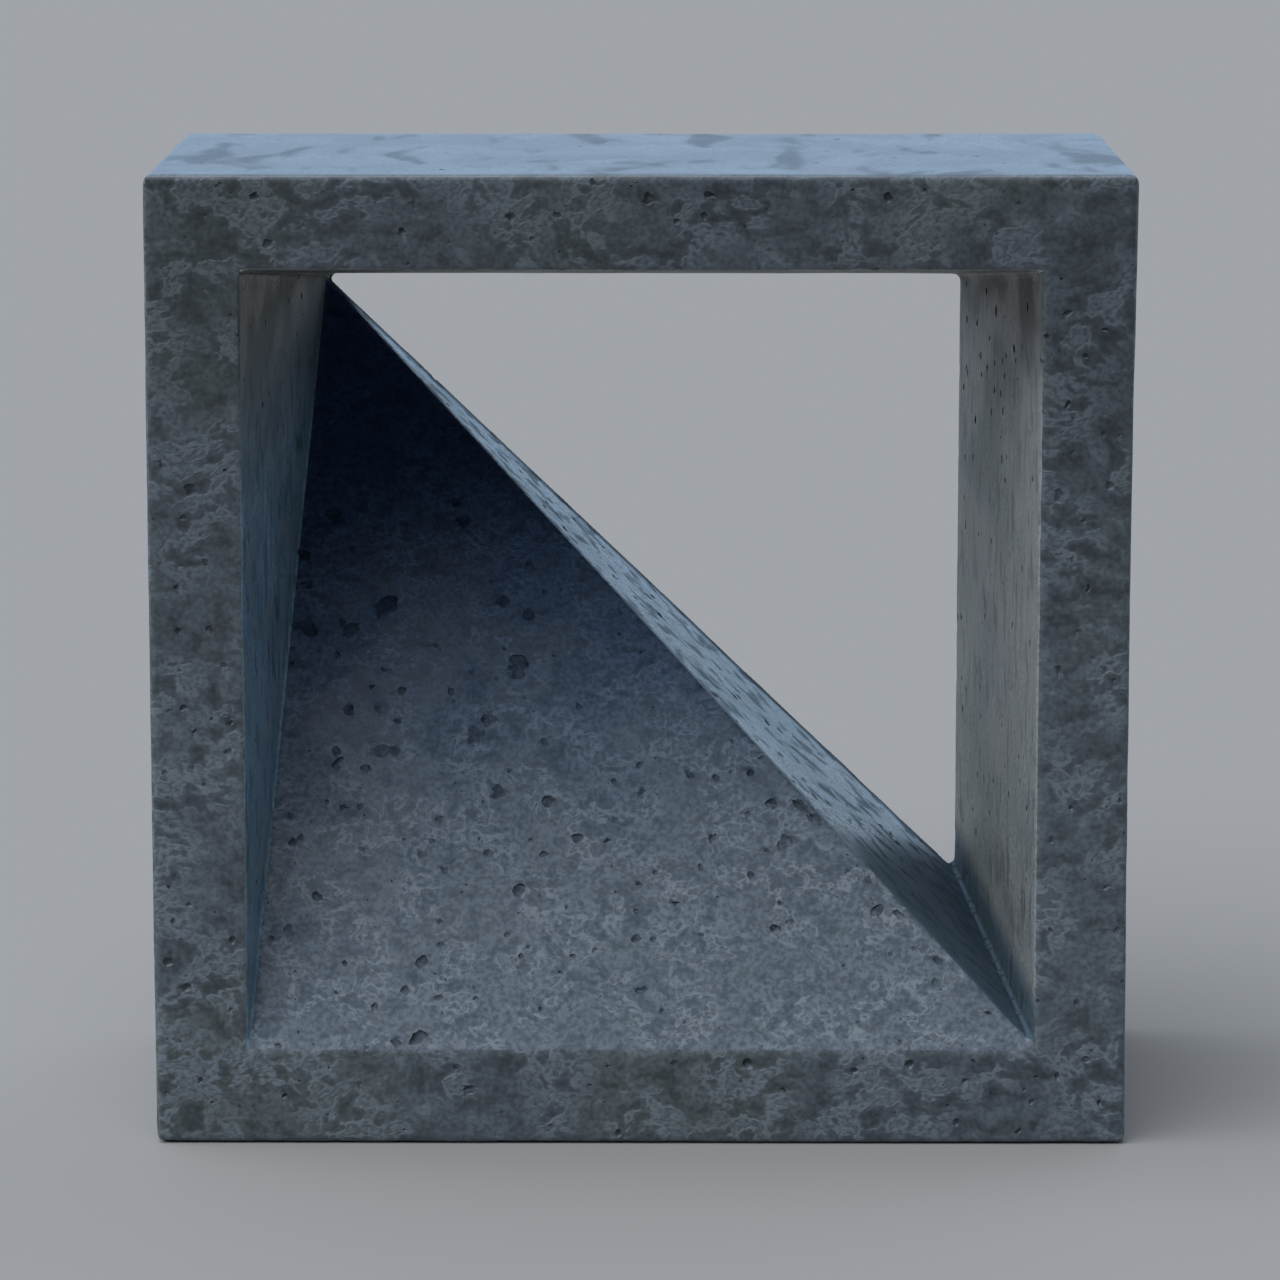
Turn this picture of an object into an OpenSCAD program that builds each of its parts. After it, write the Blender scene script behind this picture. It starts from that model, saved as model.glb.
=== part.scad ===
// Decorative concrete screen block, cast in one piece.
// A square frame surrounds a core that narrows towards the back. A solid pyramid-shaped web
// fills the lower left of the core: its front face leans back from the front sill to the tip in
// the top left corner of the core, and its slanted face falls from that tip to the right wall,
// so that a triangular window stays open.
// Sizes are in millimetres. The front faces -Y, +Z is up, and the block stands on Z = 0.

/* [Frame] */
// Width and height of the square front
block_size = 200; // [180:1:260]
// Depth from the front face to the back face
block_depth = 100; // [80:1:140]
// Thickness of the four bars, at the front face
bar_front = 19.5; // [16:0.5:26]
// How far each core wall comes inwards between the front and the back
core_draft = 11.5; // [6:0.5:16]

/* [Edges] */
// Radius of the four outer edges that run from front to back
corner_radius = 2; // [1:0.1:4]
// Radius of the outer edges round the front and back faces
arris_radius = 1.4; // [0.6:0.1:2.4]
// Radius of the edge round the mouth of the core
mouth_radius = 1.2; // [0.6:0.1:4]
// Radius of the cove in each corner of the core
cove_radius = 2; // [1.5:0.5:8]

/* [Web] */
// Height of the web's front edge above the floor of the core
sill_lap = 0.5; // [0.3:0.1:3]
// Height above the floor of the core at which the slanted face meets the right wall at the back
heel_rise = 6; // [3:0.5:15]
// How far the tip and the front foot of the web run on into the frame
web_bury = 1.5; // [1:0.1:4]
// Width of the worn flat along the web's front edge
web_arris = 1.2; // [0.4:0.1:3]

/* [Hidden] */
$fn = 48;
// Length by which a cutting shape runs past the surface it cuts
over = 6;
// Share of its radius at which a rounding tool sits off the surfaces that it blends
seat = 0.9;

half_size = block_size / 2;
front_y = -block_depth / 2;
back_y = block_depth / 2;

// Half the core's width and height at the front and at the back
core_front = half_size - bar_front;
core_back = core_front - core_draft;
function core_half(y) = core_front - core_draft * (y - front_y) / block_depth;

// Corner points of the web's two visible faces
sill_z = bar_front + sill_lap;
web_foot = [core_front + web_bury, front_y, sill_z];
web_heel = [core_back, back_y, half_size - core_back + heel_rise];
web_tip = [-core_back - web_bury, back_y, half_size + core_back + web_bury];

function unit(v) = v / norm(v);
front_normal = unit(cross([1, 0, 0], web_tip - [web_tip.x, front_y, sill_z]));
slant_normal = unit(cross(web_heel - web_foot, web_tip - web_foot));
arris_normal = unit(front_normal + slant_normal);
// Depth of the worn flat below the sharp edge that it replaces
arris_depth = web_arris / 2 * tan(acos(front_normal * slant_normal) / 2);

// A shape long enough to cross the block in any direction
reach = 2 * norm([block_size, block_size, block_depth]);

// Rectangle about the origin with rounded corners
module rounded_rectangle(size_x, size_y, radius) {
    square([size_x - 2 * radius, size_y], center = true);
    square([size_x, size_y - 2 * radius], center = true);
    for (sx = [-1, 1], sy = [-1, 1])
        translate([sx * (size_x / 2 - radius), sy * (size_y / 2 - radius)])
            circle(radius);
}

// Outline of the casting before the core is taken out
module envelope() {
    translate([0, 0, half_size])
        intersection() {
            rotate([90, 0, 0])
                linear_extrude(block_depth, center = true)
                    rounded_rectangle(block_size, block_size, corner_radius);
            linear_extrude(block_size, center = true)
                rounded_rectangle(block_size, block_depth, arris_radius);
            rotate([0, 90, 0])
                linear_extrude(block_size, center = true)
                    rounded_rectangle(block_size, block_depth, arris_radius);
        }
}

// Section of the core, seen square to the depth, with a rounded mouth
module core_section() {
    near_y = front_y - over;
    far_y = back_y + over;
    polygon([
        [-core_half(near_y), near_y], [core_half(near_y), near_y],
        [core_half(far_y), far_y], [-core_half(far_y), far_y],
    ]);
    rim_x = core_front + seat * mouth_radius;
    rim_y = front_y + seat * mouth_radius;
    difference() {
        translate([-rim_x, near_y])
            square([2 * rim_x, rim_y - near_y]);
        for (side = [-1, 1])
            translate([side * rim_x, rim_y])
                circle(mouth_radius);
    }
}

// Cove along the top right corner of the core, as the concrete that fills that corner
module core_cove() {
    run = [-core_draft, block_depth, -core_draft];
    stretch = over / block_depth;
    start = [core_front, front_y, core_front] - stretch * run;
    leg = 0.6 * cove_radius;
    translate(start)
        rotate([0, acos(unit(run).z), atan2(run.y, run.x)])
            linear_extrude((1 + 2 * stretch) * norm(run))
                difference() {
                    polygon([[-over / 2, -over / 2], [leg + over / 2, -over / 2], [-over / 2, leg + over / 2]]);
                    translate([seat * cove_radius, seat * cove_radius])
                        circle(cove_radius);
                }
}

// Core of the frame: it narrows in both directions and has a cove in each corner
module core() {
    translate([0, 0, half_size])
        difference() {
            intersection() {
                linear_extrude(reach, center = true)
                    core_section();
                rotate([0, 90, 0])
                    linear_extrude(reach, center = true)
                        core_section();
            }
            for (flip_x = [0, 1], flip_z = [0, 1])
                mirror([flip_x, 0, 0])
                    mirror([0, 0, flip_z])
                        core_cove();
        }
}

// All the space below a plane through a point
module below(point, normal) {
    translate(point)
        rotate([0, acos(normal.z), atan2(normal.y, normal.x)])
            translate([-reach / 2, -reach / 2, -reach])
                cube(reach);
}

// Pyramid-shaped web, still running on into the frame on all sides
module web() {
    intersection() {
        below(web_tip, front_normal);
        below(web_foot, slant_normal);
        below(web_foot - arris_depth * arris_normal, arris_normal);
    }
}

module block() {
    color([0.30, 0.32, 0.33])
        difference() {
            envelope();
            difference() {
                core();
                web();
            }
        }
}

block();
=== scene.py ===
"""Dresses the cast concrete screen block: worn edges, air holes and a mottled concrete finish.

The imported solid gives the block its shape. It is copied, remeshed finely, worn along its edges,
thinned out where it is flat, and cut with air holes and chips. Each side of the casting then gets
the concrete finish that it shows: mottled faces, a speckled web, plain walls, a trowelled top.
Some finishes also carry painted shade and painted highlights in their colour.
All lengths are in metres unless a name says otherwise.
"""

import itertools
import logging
import math
from dataclasses import dataclass, replace
from enum import Enum
from typing import Any, Optional, Sequence, Union

import bmesh
import bpy
import numpy as np
from mathutils import Euler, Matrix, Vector
from mathutils.bvhtree import BVHTree
from mathutils.geometry import intersect_plane_plane

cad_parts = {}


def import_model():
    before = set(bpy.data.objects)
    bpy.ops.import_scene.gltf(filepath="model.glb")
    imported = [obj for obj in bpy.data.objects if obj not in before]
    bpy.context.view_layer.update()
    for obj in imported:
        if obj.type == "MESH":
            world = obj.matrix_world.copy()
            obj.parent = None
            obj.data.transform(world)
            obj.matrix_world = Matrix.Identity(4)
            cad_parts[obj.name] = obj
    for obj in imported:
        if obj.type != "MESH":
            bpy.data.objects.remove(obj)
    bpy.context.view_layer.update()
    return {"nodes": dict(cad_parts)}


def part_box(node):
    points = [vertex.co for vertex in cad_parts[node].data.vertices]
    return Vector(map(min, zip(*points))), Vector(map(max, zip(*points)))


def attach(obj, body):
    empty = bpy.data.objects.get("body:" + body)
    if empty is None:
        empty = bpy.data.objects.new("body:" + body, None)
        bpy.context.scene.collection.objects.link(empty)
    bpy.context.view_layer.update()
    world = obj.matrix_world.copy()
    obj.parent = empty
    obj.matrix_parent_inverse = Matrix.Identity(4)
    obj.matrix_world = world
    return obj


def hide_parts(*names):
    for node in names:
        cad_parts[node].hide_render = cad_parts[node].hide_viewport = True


LOG = logging.getLogger("screen_block")

MILLIMETRE = 0.001
BODY = "root"
SOLID_NODE = "block"
HOLE_MARK = "hole"
ARRIS_MARK = "arris"
SEAM_GROUP = "seam"

Colour = tuple[float, float, float]
Point = tuple[float, float, float]
Edge = tuple[Vector, Vector]
Socket = bpy.types.NodeSocket
Source = Union[float, Colour, Socket]


def linear(red: float, green: float, blue: float) -> Colour:
    """Turns a screen colour into the linear values that shaders take.

    Args:
        red: Red from 0 to 255.
        green: Green from 0 to 255.
        blue: Blue from 0 to 255.

    Returns:
        The three linear values, from 0 to 1.
    """
    knee, slope, lift, power, full = 0.04045, 12.92, 0.055, 2.4, 255.0
    values = []
    for level in (red, green, blue):
        share = level / full
        values.append(share / slope if share <= knee else ((share + lift) / (1.0 + lift)) ** power)
    return values[0], values[1], values[2]


class Zone(Enum):
    """Sides of the casting that differ in finish."""

    FRONT = 0
    WEB = 1
    SLANT = 2
    LEFT_WALL = 3
    RIGHT_WALL = 4
    SOFFIT = 5
    TOP = 6
    LEFT_SIDE = 7
    RIGHT_SIDE = 8
    BACK = 9
    BASE = 10


@dataclass(frozen=True)
class Join:
    """Straight line in which two zones meet.

    Attributes:
        first: One zone.
        second: Other zone.
        start: One end of the line.
        end: Other end of the line.
        hollow: True in an inner corner, false on an arris.
    """

    first: Zone
    second: Zone
    start: Vector
    end: Vector
    hollow: bool = False


@dataclass(frozen=True)
class BlockPlan:
    """Main sizes of the block, as the part's source gives them.

    Attributes:
        low: Lowest corner of the solid's box.
        high: Highest corner of the solid's box.
        bar_front: Thickness of the bars at the front face.
        core_draft: Inward run of each core wall from front to back.
        sill_lap: Height of the web's front edge above the core floor.
        heel_rise: Height above the core floor where the slanted face meets the right wall.
        web_bury: How far the web's tip and foot run on into the frame.
    """

    low: Vector
    high: Vector
    bar_front: float = 19.5 * MILLIMETRE
    core_draft: float = 11.5 * MILLIMETRE
    sill_lap: float = 0.5 * MILLIMETRE
    heel_rise: float = 6.0 * MILLIMETRE
    web_bury: float = 1.5 * MILLIMETRE

    @property
    def core_front(self) -> float:
        """Half the core's width at the front."""
        return (self.high.x - self.low.x) / 2.0 - self.bar_front

    @property
    def core_back(self) -> float:
        """Half the core's width at the back."""
        return self.core_front - self.core_draft

    @property
    def middle_z(self) -> float:
        """Height of the middle of the core."""
        return (self.low.z + self.high.z) / 2.0

    @property
    def foot(self) -> Vector:
        """Front foot of the slanted face, just inside the right bar."""
        sill = self.low.z + self.bar_front + self.sill_lap
        return Vector((self.core_front + self.web_bury, self.low.y, sill))

    @property
    def heel(self) -> Vector:
        """Where the slanted face meets the right wall at the back."""
        height = self.middle_z - self.core_back + self.heel_rise
        return Vector((self.core_back, self.high.y, height))

    @property
    def tip(self) -> Vector:
        """Tip of the web, just inside the top left corner of the core."""
        reach = self.core_back + self.web_bury
        return Vector((-reach, self.high.y, self.middle_z + reach))

    def planes(self) -> dict[Zone, tuple[Vector, Vector]]:
        """Gives each zone's plane.

        Returns:
            A point and an outward unit normal for each zone.
        """
        depth = self.high.y - self.low.y
        front_x = Vector((self.core_front, self.low.y, self.middle_z))
        front_top = Vector((0.0, self.low.y, self.middle_z + self.core_front))
        lean = self.tip - Vector((self.tip.x, self.foot.y, self.foot.z))
        web_normal = Vector((1.0, 0.0, 0.0)).cross(lean).normalized()
        slant_normal = (self.heel - self.foot).cross(self.tip - self.foot).normalized()
        return {
            Zone.FRONT: (self.low, Vector((0.0, -1.0, 0.0))),
            Zone.WEB: (self.tip, web_normal),
            Zone.SLANT: (self.tip, slant_normal),
            Zone.LEFT_WALL: (
                Vector((-front_x.x, front_x.y, front_x.z)),
                Vector((depth, -self.core_draft, 0.0)).normalized(),
            ),
            Zone.RIGHT_WALL: (front_x, Vector((-depth, -self.core_draft, 0.0)).normalized()),
            Zone.SOFFIT: (front_top, Vector((0.0, -self.core_draft, -depth)).normalized()),
            Zone.TOP: (self.high, Vector((0.0, 0.0, 1.0))),
            Zone.LEFT_SIDE: (self.low, Vector((-1.0, 0.0, 0.0))),
            Zone.RIGHT_SIDE: (self.high, Vector((1.0, 0.0, 0.0))),
            Zone.BACK: (self.high, Vector((0.0, 1.0, 0.0))),
            Zone.BASE: (self.low, Vector((0.0, 0.0, -1.0))),
        }

    def box_edges(self) -> list[Edge]:
        """Lists the twelve outer arrises.

        Returns:
            The two ends of each arris.
        """
        corners = [Vector(c) for c in itertools.product(*zip(self.low, self.high))]
        edges = []
        for start, end in itertools.combinations(corners, 2):
            if sum(abs(a - b) > MILLIMETRE for a, b in zip(start, end)) == 1:
                edges.append((start, end))
        return edges

    def mouth_edges(self) -> list[Edge]:
        """Lists the arrises round the core's mouth and round the window behind.

        Returns:
            The two ends of each arris.
        """
        front = self.core_front
        back = self.core_back
        sill = self.foot.z
        front_top = self.middle_z + front
        back_top = self.middle_z + back
        near = self.low.y
        far = self.high.y
        return [
            (Vector((-front, near, sill)), Vector((-front, near, front_top))),
            (Vector((-front, near, front_top)), Vector((front, near, front_top))),
            (Vector((front, near, sill)), Vector((front, near, front_top))),
            (Vector((-front, near, sill)), Vector((front, near, sill))),
            (Vector((-back, far, back_top)), Vector((back, far, back_top))),
            (Vector((back, far, self.heel.z)), Vector((back, far, back_top))),
        ]

    def crossing(self, first: Zone, second: Zone) -> Edge:
        """Finds the line in which the planes of two zones cross.

        Args:
            first: One zone.
            second: Other zone.

        Returns:
            The ends of the line, at the front and at the back.
        """
        planes = self.planes()
        point, course = intersect_plane_plane(*planes[first], *planes[second])
        near = point + course * ((self.low.y - point.y) / course.y)
        far = point + course * ((self.high.y - point.y) / course.y)
        return near, far

    def seam(self) -> Edge:
        """Gives the ends of the seam between the slanted face and the right wall."""
        return self.crossing(Zone.SLANT, Zone.RIGHT_WALL)

    def joins(self) -> list[Join]:
        """Lists the lines in which two finishes meet.

        Returns:
            The web's lines, those round the core and those round the top.
        """
        left, lintel, right, sill, back_lintel, back_right = self.mouth_edges()
        top_left = Vector((self.low.x, self.low.y, self.high.z))
        top_right = Vector((self.high.x, self.low.y, self.high.z))
        back_left = Vector((self.low.x, self.high.y, self.high.z))
        return [
            Join(Zone.WEB, Zone.LEFT_WALL, *self.crossing(Zone.WEB, Zone.LEFT_WALL), True),
            Join(Zone.SLANT, Zone.RIGHT_WALL, *self.seam(), True),
            Join(Zone.WEB, Zone.SLANT, self.foot, self.tip),
            Join(Zone.SLANT, Zone.BACK, self.heel, self.tip),
            Join(Zone.FRONT, Zone.WEB, *sill),
            Join(Zone.FRONT, Zone.LEFT_WALL, *left),
            Join(Zone.FRONT, Zone.RIGHT_WALL, *right),
            Join(Zone.FRONT, Zone.SOFFIT, *lintel),
            Join(Zone.BACK, Zone.SOFFIT, *back_lintel),
            Join(Zone.BACK, Zone.RIGHT_WALL, *back_right),
            Join(Zone.TOP, Zone.FRONT, top_left, top_right),
            Join(Zone.TOP, Zone.BACK, back_left, self.high),
            Join(Zone.TOP, Zone.LEFT_SIDE, top_left, back_left),
            Join(Zone.TOP, Zone.RIGHT_SIDE, top_right, self.high),
        ]


@dataclass(frozen=True)
class Viewpoint:
    """Camera at the photograph's viewing angle.

    Attributes:
        place: Position of the camera.
        down_degrees: Downward tilt.
        right_degrees: Turn to the right.
        lens: Focal length in millimetres.
        sensor: Width of the picture plane in millimetres.
        picture: Pixels along each side of the photograph.
        far_clip: Distance up to which the camera sees.
    """

    place: Point = (0.0054, -1.180, 0.3033)
    down_degrees: float = 9.93
    right_degrees: float = -0.28
    lens: float = 159.1
    sensor: float = 36.0
    picture: float = 1280.0
    far_clip: float = 100.0

    def turn(self) -> Euler:
        """Gives the camera's rotation."""
        tilt = math.radians(90.0 - self.down_degrees)
        return Euler((tilt, 0.0, math.radians(-self.right_degrees)))

    def pixel_span(self) -> float:
        """Gives the width that one pixel covers at a distance of one metre."""
        return self.sensor / self.lens / self.picture

    def sight_line(self, column: float, row: float) -> Vector:
        """Gives the direction seen at one place in the photograph.

        Args:
            column: Pixels from the photograph's left edge.
            row: Pixels from its top edge.

        Returns:
            The unit direction from the camera.
        """
        middle = self.picture / 2.0
        across = (column - middle) * self.pixel_span()
        up = (middle - row) * self.pixel_span()
        return (self.turn().to_matrix() @ Vector((across, up, -1.0))).normalized()

    def build(self) -> bpy.types.Object:
        """Makes the camera and shows the scene through it.

        Returns:
            The camera object.
        """
        data = bpy.data.cameras.new("view")
        data.lens = self.lens
        data.sensor_width = self.sensor
        data.clip_end = self.far_clip
        camera = bpy.data.objects.new("view", data)
        camera.location = self.place
        camera.rotation_euler = self.turn()
        bpy.context.scene.collection.objects.link(camera)
        bpy.context.scene.camera = camera
        return camera


@dataclass(frozen=True)
class LatticeNoise:
    """Smooth seeded noise in space, between -1 and 1.

    Attributes:
        seed: Number that fixes the pattern.
        cell: Size of one lump.
        lattice: Lumps along each side before the pattern repeats.
    """

    seed: int
    cell: float
    lattice: int = 40

    def at(self, points: np.ndarray) -> np.ndarray:
        """Samples the noise.

        Args:
            points: Positions, one per row.

        Returns:
            One value per row.
        """
        values = np.random.default_rng(self.seed).uniform(-1.0, 1.0, (self.lattice,) * 3)
        scaled = points / self.cell
        base = np.floor(scaled).astype(int)
        share = scaled - base
        blend = MeshKit.ease(share)
        total = np.zeros(len(points))
        for corner in itertools.product((0, 1), repeat=3):
            index = (base + np.array(corner)) % self.lattice
            weight = np.prod(np.where(np.array(corner) == 1, blend, 1.0 - blend), axis=1)
            total += weight * values[index[:, 0], index[:, 1], index[:, 2]]
        return total


@dataclass(frozen=True)
class AirHoles:
    """Scatter of air holes over one zone.

    Attributes:
        zone: Side of the casting that is cut.
        count: Number of holes tried.
        smallest: Least radius of a mouth.
        largest: Greatest radius of a mouth.
        scarcity: Power that makes large holes rare.
    """

    zone: Zone
    count: int
    smallest: float = 0.28 * MILLIMETRE
    largest: float = 1.1 * MILLIMETRE
    scarcity: float = 2.6

    def radii(self, rng: np.random.Generator) -> np.ndarray:
        """Draws the radii, with many small holes and few large ones, the largest first."""
        share = rng.uniform(0.0, 1.0, self.count) ** self.scarcity
        return np.sort(self.smallest + (self.largest - self.smallest) * share)[::-1]


class MeshKit:
    """Small mesh jobs that several steps share."""

    @staticmethod
    def apply_modifiers(piece: bpy.types.Object) -> None:
        """Bakes a piece's modifiers into its mesh.

        Args:
            piece: Object whose modifiers are applied and removed.
        """
        graph = bpy.context.evaluated_depsgraph_get()
        fresh = bpy.data.meshes.new_from_object(piece.evaluated_get(graph))
        stale = piece.data
        piece.modifiers.clear()
        piece.data = fresh
        bpy.data.meshes.remove(stale)

    @staticmethod
    def read(items: Any, name: str, width: int = 1, kind: type = np.float32) -> np.ndarray:
        """Reads one property of all the items of a mesh.

        Args:
            items: Vertices, normals, corners or faces of a mesh.
            name: Blender's name for the property.
            width: Numbers per item.
            kind: Kind of number that Blender stores.

        Returns:
            One row per item.
        """
        flat = np.empty(len(items) * width, kind)
        items.foreach_get(name, flat)
        return flat.reshape(-1, width)

    @staticmethod
    def positions(mesh: bpy.types.Mesh) -> np.ndarray:
        """Reads vertex positions, one per row."""
        return MeshKit.read(mesh.vertices, "co", 3).astype(float)

    @staticmethod
    def place(mesh: bpy.types.Mesh, points: np.ndarray) -> None:
        """Writes vertex positions.

        Args:
            mesh: Mesh to change.
            points: One position per row.
        """
        mesh.vertices.foreach_set("co", points.reshape(-1))
        mesh.update()

    @staticmethod
    def normals(mesh: bpy.types.Mesh) -> np.ndarray:
        """Reads vertex normals, one per row."""
        return MeshKit.read(mesh.vertex_normals, "vector", 3).astype(float)

    @staticmethod
    def faces(mesh: bpy.types.Mesh) -> tuple[np.ndarray, np.ndarray, np.ndarray]:
        """Reads the middle, normal and area of each face.

        Args:
            mesh: Mesh to read.

        Returns:
            Centres, unit normals and areas.
        """
        centres = MeshKit.read(mesh.polygons, "center", 3).astype(float)
        normals = MeshKit.read(mesh.polygons, "normal", 3).astype(float)
        return centres, normals, MeshKit.read(mesh.polygons, "area")[:, 0].astype(float)

    @staticmethod
    def corners(mesh: bpy.types.Mesh) -> np.ndarray:
        """Reads the three vertex numbers of each triangle, one triangle per row."""
        return MeshKit.read(mesh.loops, "vertex_index", 1, np.int32).reshape(-1, 3)

    @staticmethod
    def mark(mesh: bpy.types.Mesh, name: str, domain: str, values: np.ndarray) -> None:
        """Stores a number on each vertex or face for the finish to read.

        Args:
            mesh: Mesh to mark.
            name: Name of the mark.
            domain: POINT or FACE.
            values: One number per vertex or face.
        """
        layer = mesh.attributes.new(name, "FLOAT", domain)
        layer.data.foreach_set("value", values.astype(np.float32))

    @staticmethod
    def ease(share: np.ndarray) -> np.ndarray:
        """Turns shares, which may lie outside zero and one, into a smooth rise from zero to one."""
        inside = np.clip(share, 0.0, 1.0)
        return inside * inside * (3.0 - 2.0 * inside)

    @staticmethod
    def edge_share(points: np.ndarray, start: Vector, end: Vector) -> np.ndarray:
        """Measures how far along a straight edge points lie, from zero at its start to one at its end."""
        run = np.array(end - start)
        return (points - np.array(start)) @ run / (run @ run)

    @staticmethod
    def edge_distance(points: np.ndarray, edges: Sequence[Edge]) -> np.ndarray:
        """Measures how far points lie from the nearest of some straight edges.

        Args:
            points: Positions, one per row.
            edges: The two ends of each edge.

        Returns:
            One distance per row.
        """
        nearest = np.full(len(points), np.inf)
        for start, end in edges:
            share = np.clip(MeshKit.edge_share(points, start, end), 0.0, 1.0)
            gaps = np.linalg.norm(points - np.array(start) - np.outer(share, end - start), axis=1)
            nearest = np.minimum(nearest, gaps)
        return nearest


@dataclass(frozen=True)
class SeamHollow:
    """Small even hollow along the seam between the slanted face and the right wall.

    Attributes:
        plan: Main sizes of the block.
        radius: Radius of the hollow.
        calm: Distance beside the hollow over which the faces lie flat.
        front_fade: Share of the seam over which the hollow fades in at the front.
        back_fade: Share of the seam over which it fades out at the back.
        rows: Mesh lines along each half of it.
    """

    plan: BlockPlan
    radius: float = 0.6 * MILLIMETRE
    calm: float = 3.0 * MILLIMETRE
    front_fade: float = 0.06
    back_fade: float = 0.02
    rows: int = 2

    def sides(self) -> tuple[Vector, Vector]:
        """Gives the outward normals of the slanted face and of the right wall."""
        planes = self.plan.planes()
        return planes[Zone.SLANT][1], planes[Zone.RIGHT_WALL][1]

    def half_angle(self) -> float:
        """Gives half the angle through which the hollow turns."""
        slope, wall = self.sides()
        return slope.angle(wall) / 2.0

    def width(self) -> float:
        """Gives the distance from the seam to the edge of the hollow."""
        return self.radius * math.tan(self.half_angle())

    def reach(self) -> float:
        """Gives the distance from the seam to which points are moved."""
        return self.width() + self.calm

    def axes(self) -> tuple[Vector, Vector, Vector, Vector]:
        """Gives a point of the hollow's axis, its course, the way down and the way to the slanted face."""
        near, far = self.plan.seam()
        slope, wall = self.sides()
        rise = (slope + wall).normalized()
        course = (far - near).normalized()
        across = course.cross(rise)
        if across.dot(slope) > 0.0:
            across = -across
        return near + rise * (self.radius / math.cos(self.half_angle())), course, -rise, across

    def cuts(self) -> list[Vector]:
        """Lists planes through the axis that lay mesh lines along the hollow.

        Returns:
            The normal of each plane.
        """
        _, course, down, across = self.axes()
        normals = []
        for row in range(-self.rows, self.rows + 1):
            turn = self.half_angle() * row / self.rows
            normals.append(course.cross(down * math.cos(turn) + across * math.sin(turn)))
        return normals

    def seat(self, points: np.ndarray) -> np.ndarray:
        """Moves points near the seam into the hollow and onto the flat faces beside it.

        Args:
            points: Positions, one per row.

        Returns:
            The new positions.
        """
        near, far = self.plan.seam()
        axis, course, down, across = (np.array(v) for v in self.axes())
        slope, wall = (np.array(v) for v in self.sides())
        offset = points - axis
        turn = np.arctan2(offset @ across, offset @ down)
        spoke = np.outer(np.cos(turn), down) + np.outer(np.sin(turn), across)
        hollow = axis + np.outer(offset @ course, course) + self.radius * spoke
        normal = np.where((turn > 0.0)[:, None], slope, wall)
        away = np.einsum("ij,ij->i", points - np.array(near), normal)
        gaps = MeshKit.edge_distance(points, [(near, far)])
        flat = 1.0 - MeshKit.ease((gaps - self.width()) / self.calm)
        level = points - normal * (away * flat)[:, None]
        inside = np.abs(turn) <= self.half_angle()
        target = np.where(inside[:, None], hollow, level)
        share = MeshKit.edge_share(points, near, far)
        weight = MeshKit.ease(share / self.front_fade) * MeshKit.ease((1.0 - share) / self.back_fade)
        weight[gaps > self.reach()] = 0.0
        return points + (target - points) * weight[:, None]


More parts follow.
